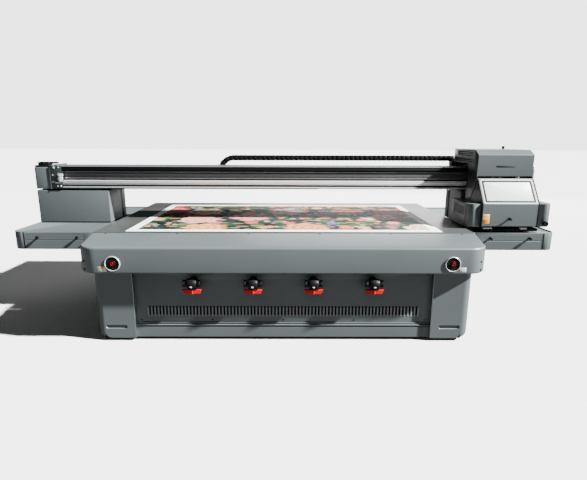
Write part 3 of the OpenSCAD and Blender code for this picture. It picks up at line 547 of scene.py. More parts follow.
def bumper_screws():
    """Six screws along the back of the cover's top, and two in each round front corner."""
    row = ends("cover_screws")
    xs = np.linspace(row[0] + 0.007, row[1] - 0.007, 6)
    y = (row[2] + row[3]) / 2
    heads = [screw_head(x, y, BUMPER[5], r=0.0085, h=0.0024) for x in xs]
    piece("cover_screw_heads", together(*heads), "black_plastic", "base", ("cover_screws",))
    lower = []
    for side in (-1, 1):
        for z in (BUMPER[4] + 0.024, BUMPER[4] + 0.082):
            a = math.radians(52)
            x = side * (BUMPER[1] - COVER_LEAN - COVER_R + COVER_R * math.cos(a))
            y = BUMPER[2] + COVER_R - COVER_R * math.sin(a)
            facing = ((math.sin(a), math.cos(a) * side, 0),
                      (0, 0, 1), (side * math.cos(a), -math.sin(a), 0))
            lower.append(screw_head(x, y, z, facing, 0.0085, 0.003))
    piece("corner_screws", together(*lower), "black_plastic", "base")


def sticker(name, look, body, x, y, z, proud):
    """Blank label on a front face at y: x and z hold its ends, proud how far it stands out."""
    tile = block(*x, y - proud, y + 0.0005, *z, 0.0002)
    piece(name, tile, look, body)


def bumper_stickers():
    """Labels beside the stop switches: pale with an amber strip at the left, pale at right."""
    low = BUMPER[4]
    for name, look, x, z0, z1, proud in (
            ("left_base", "hatch_trim", (-1.267, -1.209), 0.015, 0.051, 0.0004),
            ("left_head", "sticker_face", (-1.264, -1.212), 0.038, 0.050, 0.0006),
            ("right_base", "hatch_trim", (1.213, 1.260), 0.017, 0.049, 0.0004)):
        sticker("cover_sticker_" + name, look, "base", x, BUMPER[2], (low + z0, low + z1),
                proud)


front_cover()
stop_switches()
bumper_screws()
bumper_stickers()


def framed_recess(x0, x1, z0, z1, loop, depth, thick):
    """Front plate with a pressed recess: rings run from the recess floor up its wall,
    over a rounded lip, out to the plate's rim and back; each ring has the same count."""
    steps = len(loop) // 4
    rim = round_outline(x0, x1, z0, z1, (1e-4,) * 4, steps)
    rings = [level(inset(loop, d), t)
             for d, t in ((0.010, -depth), (0.006, -depth), (0.003, -depth * 0.6),
                          (0.001, -0.001), (0.0, 0.0))]
    rings += [level(rim, t) for t in (0.0, -thick)]
    return placed(capped(rings), FACE_FRONT)


def corner_posts():
    """Each post: a front plate with a hand recess, and a shell whose outer corner is round
    in plan (radius r) and whose foot draws in at the outside by R - sqrt(R^2 - (R - z)^2)."""
    x0, x1, y0, y1, z0, z1 = POST
    r, foot, thick = 0.060, 0.045, 0.016
    cx, cz, w, h = (x0 + x1) / 2 - 0.006, z0 + 0.085, 0.155, 0.029
    loop = round_outline(cx - w / 2, cx + w / 2, cz - h / 2, cz + h / 2,
                         (h / 2 - 0.0012,) * 4, 8)
    plate = framed_recess(x0, x1 - r, z0, z1, loop, 0.009, thick)
    plate = placed(plate, at=(0, y0, 0))
    levels = [z0 + foot * (1 - math.cos(a)) for a in np.linspace(0, math.pi / 2, 7)] + [z1]
    rings = []
    for z in levels:
        up = max(0.0, foot - (z - z0))
        edge = x1 - foot + math.sqrt(foot ** 2 - up ** 2)
        turn = np.radians(np.linspace(270, 360, 12))
        arc = np.stack([edge - r + r * np.cos(turn), y0 + r + r * np.sin(turn)], 1)
        plan = np.vstack([[(x0, y0 + thick), (x1 - r, y0 + thick), (x1 - r, y0)], arc,
                          [(edge, y1), (x0, y1)]])
        rings.append(level(plan, z))
    shell = together(capped(rings), plate)
    # Aluminium strip down each post's inner front edge: a painted highlight of the lit inner
    # wall
    trim = block(x0 - 0.0035, x0 + 0.0005, y0 + 0.001, y0 + 0.030, z0, z1, 0.001)
    for side, twin in TWINS:
        piece("post_" + side, twin(shell), "grey_paint", "base", ("corner_post_" + side,))
        piece("post_highlight_strip_" + side, twin(trim), "aluminium", "base")


def front_panels():
    """Vented front panel and the kick panel, with their pressed edges softened."""
    softened("front_panel", bevel=0.0008)
    x0, x1, y0, y1, z0, z1 = ends("kick_panel")
    lip = rounded_path([(y1 - 0.002, z1 - 0.0005), (y0 + 0.002, z1 - 0.001),
                        (y0, z1 - 0.009), (y0 + 0.010, z1 - 0.015),
                        (y0 + 0.004, z1 - 0.022), (y0 + 0.004, z0)], 0.004, 6)
    piece("kick_plate", sheet_profile(lip, -0.003, x0, x1), "grey_paint", "base",
          ("kick_panel",))
    x0, x1, y0, y1, z0, z1 = ends("front_panel")
    hem = block(x0 + 0.001, x1 - 0.001, y0 - 0.006, y0, z0 + 0.002, z0 + 0.012, 0.002)
    seams = [block(x - 0.0015, x + 0.0015, y0 - 0.0015, y0 + 0.001, z0 + 0.02, z1 - 0.02,
                   0.0005) for x in (x0 + 0.022, x1 - 0.022)]
    piece("front_panel_hems", together(hem, *seams), "grey_paint", "base")
    pitch, count = 0.0245, 80
    bars = [block(x - 0.0058, x + 0.0058, y0 - 0.0022, y0 + 0.001, z0 + 0.0575, z0 + 0.1245,
                  0.0009, steps=1) for x in (np.arange(count + 1) - count / 2) * pitch]
    # The bars' lighter paint is a painted highlight, not the colour of the bars
    piece("vent_bars", together(*bars), "vent_bar_highlight", "base")
    # Black sheet behind the louvres: painted shade standing in for the shaded inside of the
    # cabinet
    well = block(x0 + 0.05, x1 - 0.05, y1 + 0.012, y1 + 0.014, z0 + 0.03, z0 + 0.15, 0.0005)
    piece("vent_shade_well", well, "black_plastic", "base")
    stays = [screw_head(x, y0, z, FACE_FRONT, 0.006)
             for x in np.linspace(x0 + 0.04, x1 - 0.04, 5) for z in (z0 + 0.03, z1 - 0.03)]
    piece("front_panel_screws", together(*stays), "black_plastic", "base")


def side_and_rear_panels():
    """Cabinet sides and back, with black sheets inside their vents as painted shade."""
    side = ends("side_panel_right")
    back = ends("rear_panel")
    # Black sheets behind the side and rear vents: painted shade for the shaded inside of the
    # cabinet
    side_shade = block(side[0] - 0.013, side[0] - 0.011, 0.28, 0.58, side[4] + 0.10,
                   side[4] + 0.35, 0.0004)
    rear = block(-0.32, 0.32, back[2] - 0.014, back[2] - 0.012, 0.40, 0.54, 0.0004)
    piece("vent_shade_backing", together(side_shade, mirrored(side_shade), rear), "black_plastic", "base")
    for node in ("side_panel_left", "side_panel_right", "rear_panel"):
        softened(node, bevel=0.0)
    for node in ("rail_beams", "control_cabinet"):
        softened(node, bevel=0.001)


def valves():
    """Ball valves in a row: a dark waisted body and gland, a bright stem end, and a red bar
    whose ends slope inwards, with a small boss under its middle."""
    steel, dark = [], []
    panel = ends("front_panel")[2]
    for number in range(1, 5):
        node = "valve_handle_%d" % number
        x0, x1, y0, y1, z0, z1 = ends(node)
        cx, cy, half = (x0 + x1) / 2, (y0 + y1) / 2, (x1 - x0) / 2
        pipe_z = z1 + 0.042
        thick = (y1 - y0) / 2
        section = [(thick - 0.002, z1), (thick, z1 - 0.002), (thick, z0 + 0.009),
                   (thick - 0.002, z0 + 0.007), (0.002 - thick, z0 + 0.007),
                   (-thick, z0 + 0.009), (-thick, z1 - 0.002), (0.002 - thick, z1)]
        rows = []
        for s in np.concatenate([[-1.0, -0.985], np.linspace(-0.97, 0.97, 21), [0.985, 1.0]]):
            trim = 0.004 if abs(s) == 1 else 0.0
            rows.append([(cx + s * (half - 0.0006 - 0.34 * (z1 - z)),
                          cy + np.sign(y) * (abs(y) - trim), z) for y, z in section])
        bar = capped(rows)
        boss = lathe([(0.0052, z0 + 0.004), (0.007, z0), (0.010, z0 + 0.004),
                      (0.0125, z0 + 0.009), (0.0125, z1 - 0.001), (0.0052, z1)],
                     24, (cx, cy, 0))
        piece("valve_bar_%d" % number, together(bar, boss), "red_plastic",
              "handle_%d" % number, (node,))
        steel.append(lathe([(0.0105, 0.0), (0.0105, 0.004), (0.0085, 0.006),
                            (0.0015, 0.0066)], 6, (cx, cy - 0.030, z1 + 0.030), FACE_FRONT))
        dark.append(lathe([(0.026, z1 + 0.0012), (0.030, z1 + 0.004), (0.030, z1 + 0.010),
                           (0.019, z1 + 0.013), (0.019, z1 + 0.022)], 6, (cx, cy, 0)))
        dark.append(lathe([(0.030, -0.034), (0.033, -0.030), (0.038, -0.010),
                           (0.038, 0.010), (0.033, 0.030), (0.030, 0.034)], 24,
                          (cx, cy, pipe_z), ALONG_X))
        dark.append(lathe([(0.024, -0.062), (0.026, -0.060), (0.026, -0.046),
                           (0.020, -0.034), (0.020, 0.034), (0.026, 0.046),
                           (0.026, 0.060), (0.024, 0.062)], 8, (cx, cy, pipe_z),
                          ALONG_X))
        dark.append(lathe([(0.030, 0.0), (0.030, 0.004), (0.0245, 0.007),
                           (0.0245, panel - cy)], 28, (cx, panel, pipe_z), FACE_FRONT))
    piece("valve_stem_nuts", together(*steel), "polished_steel", "base")
    piece("valve_bodies", together(*dark), "black_plastic", "base", ("zone_valves",))


def levelling_feet():
    """Levelling feet with their edges broken, and a hexagon lock nut on each stud."""
    rubber = ends("levelling_feet")
    softened("levelling_feet", bevel=0.001)
    r = 0.045
    xs = (rubber[0] + r, 0.0, rubber[1] - r)
    ys = (rubber[2] + r, (rubber[2] + rubber[3]) / 2, rubber[3] - r)
    nuts = [lathe([(0.0185, 0.0), (0.0195, 0.0015), (0.0195, 0.008), (0.0185, 0.0095)], 6,
                  (x, y, 0.022)) for x in xs for y in ys]
    piece("foot_lock_nuts", together(*nuts), "polished_steel", "base")


# ---- Bed ----

def printed_picture():
    """A made-up bouquet on a near-black ground, in three sizes of blossom.

    Each layer is a cell pattern. In a cell, with r the distance from its centre and a the
    angle round it, the blossom fills r < R (0.72 + 0.28 |cos(n a / 2 + twist r)|); rings
    of darker tint at constant r / R part its rows of petals.
    """
    s = Shader("printed_picture", Roughness=0.6, Specular_IOR_Level=0.08)
    warp = s.add("ShaderNodeTexNoise", {"Vector": s.coords, "Scale": 5.0, "Detail": 2.0})
    drift = s.add("ShaderNodeVectorMath", {0: warp.outputs["Color"], 1: (0.09, 0.09, 0.0)},
                  operation="MULTIPLY").outputs[0]
    flat = s.add("ShaderNodeVectorMath", {0: s.mapped((1, 1, 0)), 1: drift},
                 operation="ADD").outputs[0]
    ground = s.ramp(s.noise(6.0, 6.0), [(0.35, (0.004, 0.006, 0.007)),
                                        (0.62, (0.02, 0.035, 0.028)), (0.8, (0.05, 0.03, 0.03))])
    picture = leaves(s, flat, ground)
    for cells, petals, radius, share, palette in (
            (13.0, 5.0, 0.38, 0.34, SMALL_PALETTE), (6.0, 6.0, 0.42, 0.46, MID_PALETTE),
            (2.3, 7.0, 0.47, 0.60, LARGE_PALETTE)):
        picture = blossoms(s, flat, picture, cells, petals, radius, share, palette)
    grain = s.noise(420.0, 3.0)
    picture = s.mix(s.math("MULTIPLY", grain, 0.12), picture, (0.02, 0.02, 0.02))
    mask = border_mask(s)
    s.to("Base Color", s.mix(mask, (0.83, 0.84, 0.82), picture))
    s.bump(s.noise(900.0, 2.0), 0.05, 0.0003)
    return s.mat


SMALL_PALETTE = ((0.0, (0.55, 0.07, 0.03)), (0.22, (0.60, 0.28, 0.02)),
                 (0.45, (0.04, 0.09, 0.30)), (0.65, (0.62, 0.45, 0.16)),
                 (0.85, (0.32, 0.03, 0.08)))
MID_PALETTE = ((0.0, (0.60, 0.14, 0.16)), (0.2, (0.66, 0.46, 0.28)),
               (0.42, (0.60, 0.20, 0.05)), (0.62, (0.52, 0.05, 0.10)),
               (0.82, (0.06, 0.13, 0.28)))
LARGE_PALETTE = ((0.0, (0.66, 0.30, 0.28)), (0.25, (0.68, 0.58, 0.40)),
                 (0.5, (0.60, 0.10, 0.16)), (0.72, (0.66, 0.40, 0.08)),
                 (0.88, (0.66, 0.48, 0.46)))


def cell_polar(s, flat, cells):
    """Cell pattern: distance and angle from the nearest cell's centre, and its number."""
    cell = s.add("ShaderNodeTexVoronoi", {"Vector": flat, "Scale": cells,
                 "Randomness": 0.85}, voronoi_dimensions="2D")
    away = s.add("ShaderNodeVectorMath", {0: flat, 1: cell.outputs["Position"]},
                 operation="SUBTRACT").outputs[0]
    parts = s.add("ShaderNodeSeparateXYZ", {0: away})
    angle = s.math("ARCTAN2", parts.outputs[1], parts.outputs[0])
    pick = s.add("ShaderNodeSeparateColor", {0: cell.outputs["Color"]})
    return cell.outputs["Distance"], angle, pick.outputs[0], pick.outputs[1]


def blossoms(s, flat, under, cells, petals, radius, share, palette):
    """One layer of blossoms over the colour under it, in the given share of the cells."""
    r, angle, pick, other = cell_polar(s, flat, cells)
    turned = s.math("ADD", s.math("MULTIPLY", angle, petals / 2),
                    s.math("MULTIPLY_ADD", r, 9.0, s.math("MULTIPLY", pick, 6.0)))
    lobe = s.math("ABSOLUTE", s.math("COSINE", turned))
    edge = s.math("MULTIPLY", s.math("MULTIPLY_ADD", lobe, 0.28, 0.72), radius)
    ratio = s.math("DIVIDE", r, edge)
    inside = s.add("ShaderNodeMapRange", {"Value": ratio, "From Min": 1.0, "From Max": 0.93,
                   "To Min": 0.0, "To Max": 1.0}).outputs[0]
    present = s.math("LESS_THAN", other, share)
    rows = s.math("PINGPONG", s.math("ADD", ratio, s.math("MULTIPLY", lobe, 0.12)), 0.17)
    shade = s.math("MULTIPLY_ADD", rows, 4.2, 0.34)
    tint = s.ramp(pick, palette)
    dark = s.add("ShaderNodeVectorMath", {0: tint, 1: (0.30, 0.16, 0.14)},
                 operation="MULTIPLY").outputs[0]
    petal = s.mix(shade, dark, tint)
    heart = s.math("LESS_THAN", ratio, 0.16)
    petal = s.mix(heart, petal, (0.62, 0.36, 0.03))
    return s.mix(s.math("MULTIPLY", inside, present), under, petal)


def leaves(s, flat, under):
    """Long leaves: cells stretched one way, so that each is a pointed oval with a rib."""
    long = s.add("ShaderNodeMapping", {"Vector": flat, "Scale": (1.0, 2.6, 1.0),
                 "Rotation": (0, 0, 0.6)}).outputs[0]
    r, angle, pick, other = cell_polar(s, long, 7.0)
    rib = s.math("LESS_THAN", s.math("ABSOLUTE", s.math("SINE", angle)), 0.10)
    green = s.ramp(pick, [(0.0, (0.02, 0.09, 0.03)), (0.4, (0.06, 0.16, 0.06)),
                          (0.8, (0.16, 0.17, 0.04))])
    leaf = s.mix(s.math("MULTIPLY", rib, 0.5), green, (0.25, 0.30, 0.12))
    present = s.math("MULTIPLY", s.math("LESS_THAN", r, 0.40), s.math("LESS_THAN", other, 0.42))
    return s.mix(present, under, leaf)


def border_mask(s, margin=0.07):
    """1 inside the picture and 0 on the sheet's white border."""
    parts = s.add("ShaderNodeSeparateXYZ", {0: s.coords})
    mask = None
    for axis, low, high in ((0, SHEET[0], SHEET[1]), (1, SHEET[2], SHEET[3])):
        middle, half = (low + high) / 2, (high - low) / 2 - margin
        off = s.math("ABSOLUTE", s.math("SUBTRACT", parts.outputs[axis], middle))
        inside = s.math("LESS_THAN", off, half)
        mask = inside if mask is None else s.math("MULTIPLY", mask, inside)
    return mask


def bed():
    """Anodised table with a rolled front edge, and the printed sheet that lies on it."""
    x0, x1, y0, y1, z0, z1 = BED
    plate = slab(round_outline(x0, x1, y0, y1, (0.012,) * 4, 5), z0, z1, 0.001, 0.003, 4)
    piece("bed_plate", plate, "bed_plate", "base", ("vacuum_bed",))
    LOOKS["print"] = printed_picture()
    x0, x1, y0, y1, z0, z1 = SHEET
    sheet = slab(round_outline(x0, x1, y0, y1, (0.004,) * 4, 4), z0, z1, 0.0, 0.0003, 3)
    piece("printed_board", sheet, "print", "base", ("printed_sheet",))


corner_posts()
front_panels()
side_and_rear_panels()
valves()
levelling_feet()
bed()


# ---- Gantry ----

def pods():
    """Side pods: the CAD shell with its edges broken, a rolled rim round the deck, and a
    dark seam between the door and the pod's end."""
    x0, x1, y0, y1 = POD[:4]
    plan = round_outline(x0, x1, y0, y1, (0.010, 0.09, 0.010, 0.010), 14)
    rim = bead(inset(plan, 0.0042), POD[5] - 0.004, 0.0040)
    end, face = DOOR[1:3]
    seam = block(end - 0.0005, end + 0.0085, face - 0.0006, face + 0.003, POD[4] + 0.001,
                 POD[5] - 0.002, 0.0004)
    for side, twin in TWINS:
        softened("side_pod_" + side, bevel=0.0016)
        piece("pod_rim_" + side, twin(rim), "grey_paint", "gantry")
        piece("pod_seam_" + side, twin(seam), "black_plastic", "gantry")


def pod_doors():
    """Drop doors: a pressed sheet whose face steps back 2 mm in a groove across it."""
    x0, x1, z0, z1 = DOOR[0] + 0.009, DOOR[1] - 0.009, DOOR[4], DOOR[5]
    y0 = POD[2]
    groove = POD[4] + 0.0765
    face = [(y0 + 0.002, z0), (y0, z0 + 0.002), (y0, groove - 0.004),
            (y0 + 0.002, groove - 0.002), (y0 + 0.002, groove + 0.002), (y0, groove + 0.004),
            (y0, z1 - 0.0015), (y0 + 0.0015, z1)]
    skin = sheet_profile(face, 0.002, x0, x1)
    pin = lathe([(0.0015, DOOR[0]), (0.0015, DOOR[1])], 12, (0, y0 + 0.002, z0 + 0.002),
                ALONG_X)
    back = block(x0 + 0.002, x1 - 0.002, y0 + 0.0021, y0 + 0.0038, z0 + 0.002, z1 - 0.001,
                 0.0005)
    knob_row = ends("pod_knobs_right")
    kz = (knob_row[4] + knob_row[5]) / 2
    r = (knob_row[5] - knob_row[4]) / 2
    knobs = [pull_knob(x, y0, kz, r, y0 - knob_row[2])
             for x in (knob_row[0] + r, knob_row[1] - r)]
    for side, twin in TWINS:
        piece("door_skin_" + side, twin(together(skin, back, pin)), "grey_paint",
              side + "_door", ("pod_door_" + side,))
        piece("door_knobs_" + side, twin(together(*knobs)), "black_plastic",
              side + "_door", ("pod_knobs_" + side,))


def pull_knob(x, y, z, r, length):
    """Waisted pull knob that stands out of a front face, with a domed end."""
    n = length
    return lathe([(0.004, -0.006), (0.004, 0.0), (r * 0.75, 0.0), (r * 0.78, 0.002),
                  (r * 0.55, n * 0.25), (r * 0.6, n * 0.45), (r * 0.95, n * 0.62),
                  (r, n * 0.75), (r * 0.97, n * 0.92), (r * 0.8, n * 0.99),
                  (r * 0.2, n)], 28, (x, y, z), FACE_FRONT)


def leg_boxes():
    """Covers of the gantry's legs and of the beam's ends, as soft-edged boxes; the beam's
    covers have a stepped black cap with a strap, and a bright strip down their inner edge
    as a painted highlight of light on their inner sides."""
    x0, x1, y0, y1, z0, z1 = LEG
    box_shape = slab(round_outline(x0, x1, y0, y1, (0.006, 0.010, 0.006, 0.006), 5),
                     z0, z1, 0.002, 0.007, 5)
    c = COVER
    top = c[5] - 0.045
    end = slab(round_outline(c[0], c[1], c[2], c[3], (0.004, 0.010, 0.010, 0.004), 5),
               c[4], top, 0.004, 0.007, 5)
    low_cap = block(c[0] + 0.012, c[1] - 0.006, c[2] + 0.006, c[2] + 0.085, top - 0.001,
                    top + 0.017, 0.002)
    high_cap = block(c[0] + 0.012, c[1] - 0.034, c[2] + 0.012, c[2] + 0.085, top + 0.016,
                     c[5], 0.002)
    strap = block(c[0] - 0.045, c[0] + 0.013, c[2] + 0.045, c[2] + 0.085, c[5] - 0.017,
                  c[5] - 0.001, 0.002)
    cap = together(low_cap, high_cap, strap)
    # Bright strip on the cover's inner front edge: a painted highlight where light falls on the
    # inner side
    flank = block(c[0] - 0.0005, c[0] + 0.0035, c[2] - 0.001, c[2] + 0.013, c[4] + 0.001,
                  top - 0.001, 0.001)
    for side, twin in TWINS:
        piece("leg_cover_" + side, twin(box_shape), "grey_paint", "gantry",
              ("leg_box_" + side,))
        piece("end_cover_shell_" + side, twin(end), "grey_paint", "gantry",
              ("end_cover_" + side,))
        piece("end_cap_" + side, twin(cap), "black_plastic", "gantry")
        piece("end_cover_highlight_strip_" + side, twin(flank), "polished_steel", "gantry")


def beam():
    """Beam with broken edges. Bands on its front, bottom to top: bright nose, dark gap,
    ground rail, dark gap, magnet track with a bright edge, black upper rail. The black in
    the gaps, the dark lines on the ground rail and the black of the upper rail are painted
    shade."""
    softened("gantry_beam", bevel=0.002)
    x0, x1, y0, _, z0, z1 = BEAM
    face = y0 + 0.020
    rx = ends("beam_rails")[1]
    low = block(-rx, rx, y0 + 0.0005, face, z0 + 0.034, z0 + 0.073, 0.0025)
    # Dark lines on the ground rail's face: painted shade in its ball grooves
    grooves = [block(-rx, rx, y0 - 0.0001, y0 + 0.0012, z0 + z, z0 + z + 0.0015, 0.0003)
               for z in (0.0435, 0.0625)]
    piece("lower_rail", low, "polished_steel", "gantry", ("beam_rails",))
    piece("rail_groove_shade_lines", together(*grooves), "dark_paint", "gantry")
    # The upper rail is made black as painted shade of its recessed channel
    top = block(-rx, rx, y0 + 0.0005, face, z0 + 0.161, z0 + 0.183, 0.0020)
    piece("upper_rail", top, "black_plastic", "gantry")
    tx0, tx1, ty0, _, tz0, tz1 = ends("motor_track")
    track = block(tx0, tx1, ty0, face, tz0, tz1, 0.0012)
    piece("magnet_track", track, "frame_steel", "gantry", ("motor_track",))
    ledge = block(tx0, tx1, ty0 - 0.0015, ty0 + 0.0015, tz0 + 0.003, tz0 + 0.0105, 0.0008)
    crest = block(tx0, tx1, ty0 - 0.0012, ty0 + 0.001, tz1 - 0.007, tz1 - 0.004, 0.0005)
    piece("track_edges", together(ledge, crest), "aluminium", "gantry")
    bolts = [screw_head(x, ty0, tz0 + 0.020, FACE_FRONT, 0.0042)
             for x in np.arange(tx0 + 0.06, tx1, 0.08)]
    piece("track_bolts", together(*bolts), "black_plastic", "gantry")
    # Black strips in the recessed gaps between the bands: painted shade
    gaps = [block(x0, x1, y0 + 0.009, face, z0 + a, z0 + b, 0.0008)
            for a, b in ((0.0215, 0.0332), (0.0738, 0.0855), (0.1545, 0.1602),
                         (0.1835, 0.1950))]
    piece("beam_gap_shade_strips", together(*gaps), "black_plastic", "gantry")
    nose = block(x0 + 0.02, x1 - 0.02, y0 - 0.0012, y0 + 0.001, z0 + 0.006, z0 + 0.015,
                 0.0006)
    piece("beam_nose_edge", nose, "polished_steel", "gantry")
    heads = [screw_head(x, y0 + 0.036, z1, r=0.005, h=0.003)
             for x in np.arange(x0 + 0.1, x1, 0.32)]
    piece("beam_top_bolts", together(*heads), "black_plastic", "gantry")


def leg_ducts():
    """Upright cable ducts behind the leg covers, from the pods up to the chain tray."""
    duct = block(LEG[0] - 0.004, LEG[0] + 0.150, LEG[3] + 0.002, LEG[3] + 0.088,
                 POD[5] + 0.001, ends("chain_tray")[4] - 0.002, 0.003)
    for side, twin in TWINS:
        piece("cable_duct_" + side, twin(duct), "dark_paint", "gantry")


def beam_ends():
    """What shows where the beam enters its covers: a dark end plate with bright bolts, a
    dark housing, and a bright belt clamp with its tension roller."""
    _, x1, y0, _, z0, z1 = BEAM
    for side in (-1, 1):
        name = "left" if side < 0 else "right"
        inner = x1 - 0.085
        parts = [block(inner, x1 + 0.016, y0 - 0.004, y0 + 0.003, z0 + 0.001, z1 + 0.004,
                       0.001),
                 block(inner - 0.012, inner, y0 - 0.004, y0 + 0.003, z0 + 0.070,
                       z0 + 0.150, 0.001)]
        plate = placed(together(*parts), scale=(side, 1, 1))
        piece("beam_end_plate_" + name, plate, "dark_paint", "gantry")
        bolts = [screw_head(side * x, y0 - 0.004, z0 + z, FACE_FRONT, r)
                 for x, z, r in ((x1 - 0.004, 0.060, 0.008), (x1 - 0.004, 0.120, 0.005),
                                 (x1 - 0.020, 0.185, 0.010), (x1 - 0.062, 0.186, 0.006),
                                 (x1 - 0.070, 0.020, 0.007), (x1 - 0.040, 0.020, 0.005))]
        bar = block(-0.019, 0.019, -0.020, -0.004, 0.0, 0.034, 0.002)
        clamp = placed(bar, at=(side * (inner + 0.010), y0, z0 + 0.072))
        top = placed(block(-0.026, 0.016, -0.020, -0.004, 0.0, 0.024, 0.002),
                     scale=(side, 1, 1), at=(side * (inner + 0.012), y0, z0 + 0.108))
        roller = lathe([(0.006, -0.028), (0.013, -0.026), (0.013, -0.020), (0.009, -0.018),
                        (0.009, 0.018), (0.013, 0.020), (0.013, 0.026), (0.006, 0.028)],
                       24, (side * (inner + 0.010), y0 - 0.012, z0 + 0.090))
        rod = block(x1 - 0.074, x1 - 0.020, y0 - 0.009, y0 - 0.003, z0 + 0.044, z0 + 0.062,
                    0.002)
        rod = placed(rod, scale=(side, 1, 1))
        piece("belt_clamp_" + name, together(*bolts, clamp, top, roller), "chrome", "gantry")
        piece("tension_rod_" + name, rod, "aluminium", "gantry")


pods()
pod_doors()
leg_boxes()
leg_ducts()
beam()
beam_ends()


# ---- Head ----

HEAD_TOP = LAMP[5]
HEAD_X = (SHELL[0] + SHELL[1]) / 2
# The hatch's slope, from its fold to just below and before the brow's lower edge
RUN = SHELL[2] - 0.020 - HATCH[2]
RISE = SHELL[4] - 0.008 - HEAD_TOP
SLOPE = math.atan2(RISE, RUN)
SLOPE_L = math.hypot(RISE, RUN)
# Rows for shapes drawn flat on the slope: x across, y up the slope, z outwards
ON_SLOPE = ((1, 0, 0), (0, math.cos(SLOPE), math.sin(SLOPE)),
            (0, -math.sin(SLOPE), math.cos(SLOPE)))


def on_slope(shape):
    """A shape drawn flat, laid on the hatch's slope."""
    return placed(shape, ON_SLOPE, (0, HATCH[2], HEAD_TOP))


def hood_cover():
    """Brow, roof and back folded from one sheet, with rounded folds, and its trim."""
    x0, x1, y0, y1, z0, z1 = SHELL
    fold = rounded_path([(y0 + 0.010, z0 + 0.002), (y0, z0 + 0.002), (y0, z1 - 0.040),
                         (y0 + 0.080, z1), (y1, z1), (y1, BEAM[5] + 0.040)], 0.006, 8)
    piece("hood_cover", sheet_profile(fold, SKIN, x0, x1), "cover_paint", "head",
          ("hood_shell",))
    badge = block(HEAD_X - 0.078, HEAD_X + 0.078, y0, y0 + 0.0008, z0 + 0.078, z0 + 0.094,
                  0.0004)
    piece("brow_badge", placed(badge, at=(0, -0.0004, 0)), "dark_paint", "head")


def hood_side_plates():
    """Side plates with two groups of slanted louvre blades, each in a thin frame and with a
    black well behind it as painted shade."""
    softened("hood_sides", bevel=0.0012)
    blades = []
    x0, x1 = SIDES[:2]
    z_top = SIDES[5]
    y_low, y_high = -0.147, 0.217
    rows = list(np.arange(z_top - 0.057, z_top - 0.020, 0.014)) + \
        list(np.arange(z_top - 0.107, z_top - 0.086, 0.014))
    for z in rows:
        for side, x in ((-1, x0), (1, x1)):
            inner = x - side * SKIN
            blade = np.array([(x, z + 0.007), (x - side * 0.001, z + 0.008),
                              (inner - side * 0.006, z + 0.0005),
                              (inner - side * 0.005, z - 0.0005)])
            blades.append(capped([np.column_stack([blade[:, 0], np.full(4, y), blade[:, 1]])
                                  for y in (y_low + 0.0075, y_high - 0.0075)]))
    piece("louvre_blades", together(*blades), "black_plastic", "head")
    frames, wells = [], []
    for low, high in ((z_top - 0.060, z_top - 0.010), (z_top - 0.110, z_top - 0.076)):
        for side, x in ((-1, x0), (1, x1)):
            deep = x - side * 0.014
            wells.append(block(min(deep, deep - side * 0.002), max(deep, deep - side * 0.002),
                               y_low + 0.001, y_high - 0.001, low, high, 0.0005))
            for za, zb, ya, yb in ((high, high + 0.004, y_low, y_high),
                                   (low - 0.004, low, y_low, y_high),
                                   (low, high, y_low, y_low + 0.004),
                                   (low, high, y_high - 0.004, y_high)):
                frames.append(block(x - 0.0008, x + 0.0008, ya, yb, za, zb, 0.0003))
    piece("louvre_frames", together(*frames), "grey_paint", "head")
    # Black wells behind the louvres: painted shade for the hood's shaded inside
    piece("louvre_shade_wells", together(*wells), "black_plastic", "head")


def hatch():
    """Front hatch: one sheet folded at the slope's foot and hemmed below, a white bezel, a
    black gasket along the pane's top and sides, a pale pane, and black side seals."""
    x0, x1 = SHELL[0] - SKIN + 0.006, SHELL[1] + SKIN - 0.006
    y0, z0 = HATCH[2], HATCH[4]
    foot, head = (y0, HEAD_TOP), slope_point(SLOPE_L - 0.004)
    face = rounded_path([(y0 + 0.012, z0 + 0.001), (y0, z0 + 0.001), foot, head], 0.006, 6)
    piece("hatch_skin", sheet_profile(face, 0.0022, x0, x1), "cover_paint", "hatch",
          ("front_hatch",))

    def outline(margin, radius):
        return round_outline(x0 + margin, x1 - margin, margin - 0.007,
                             SLOPE_L - margin - 0.004, (radius,) * 4, 7)

    bezel = ring_bead(outline(0.009, 0.020), 0.012, 0.0016, 0.0)
    piece("window_bezel", on_slope(bezel), "hatch_trim", "hatch")
    seal = ring_bead(outline(0.0205, 0.015), 0.0175, 0.0024, 0.0)
    piece("window_gasket", on_slope(seal), "black_plastic", "hatch")
    pane = slab(outline(0.0370, 0.006), -0.0015, 0.0012, 0.0, 0.0008, 3)
    piece("window_pane", on_slope(pane), "hatch_glass", "hatch", ("hatch_window",))
    sides = []
    for x in (x0 - 0.0012, x1 + 0.0012):
        sides.append(block(x - 0.0045, x + 0.0045, y0 - 0.0015, y0 + 0.004, z0,
                           HEAD_TOP - 0.002, 0.0008))
    for x in (x0 - 0.0012, x1 + 0.0012):
        sides.append(on_slope(block(x - 0.0045, x + 0.0045, 0.0, SLOPE_L - 0.010, -0.0035,
                                    0.0018, 0.0008)))
    piece("hatch_seals", together(*sides), "black_plastic", "hatch")
    inner = block(x0 + 0.020, x1 - 0.020, y0 + 0.004, y0 + 0.010, z0 + 0.006, z0 + 0.020,
                  0.001)
    piece("hatch_stiffener", inner, "dark_paint", "hatch")
    marks()


def slope_point(along):
    """(y, z) of a point on the slope, that far up it from the fold."""
    return HATCH[2] + along * math.cos(SLOPE), HEAD_TOP + along * math.sin(SLOPE)


def ring_bead(outline, width, height, base):
    """Flat band inside a closed outline: up, across with eased corners, and down."""
    e = min(0.0006, height / 2)
    section = [(0.0, base - 0.001), (0.0, base + height - e), (e, base + height),
               (width - e, base + height), (width, base + height - e), (width, base - 0.001)]
    rings = [level(inset(outline, d), z) for d, z in section]
    return grid(np.array(rings), close_u=True, close_v=True)


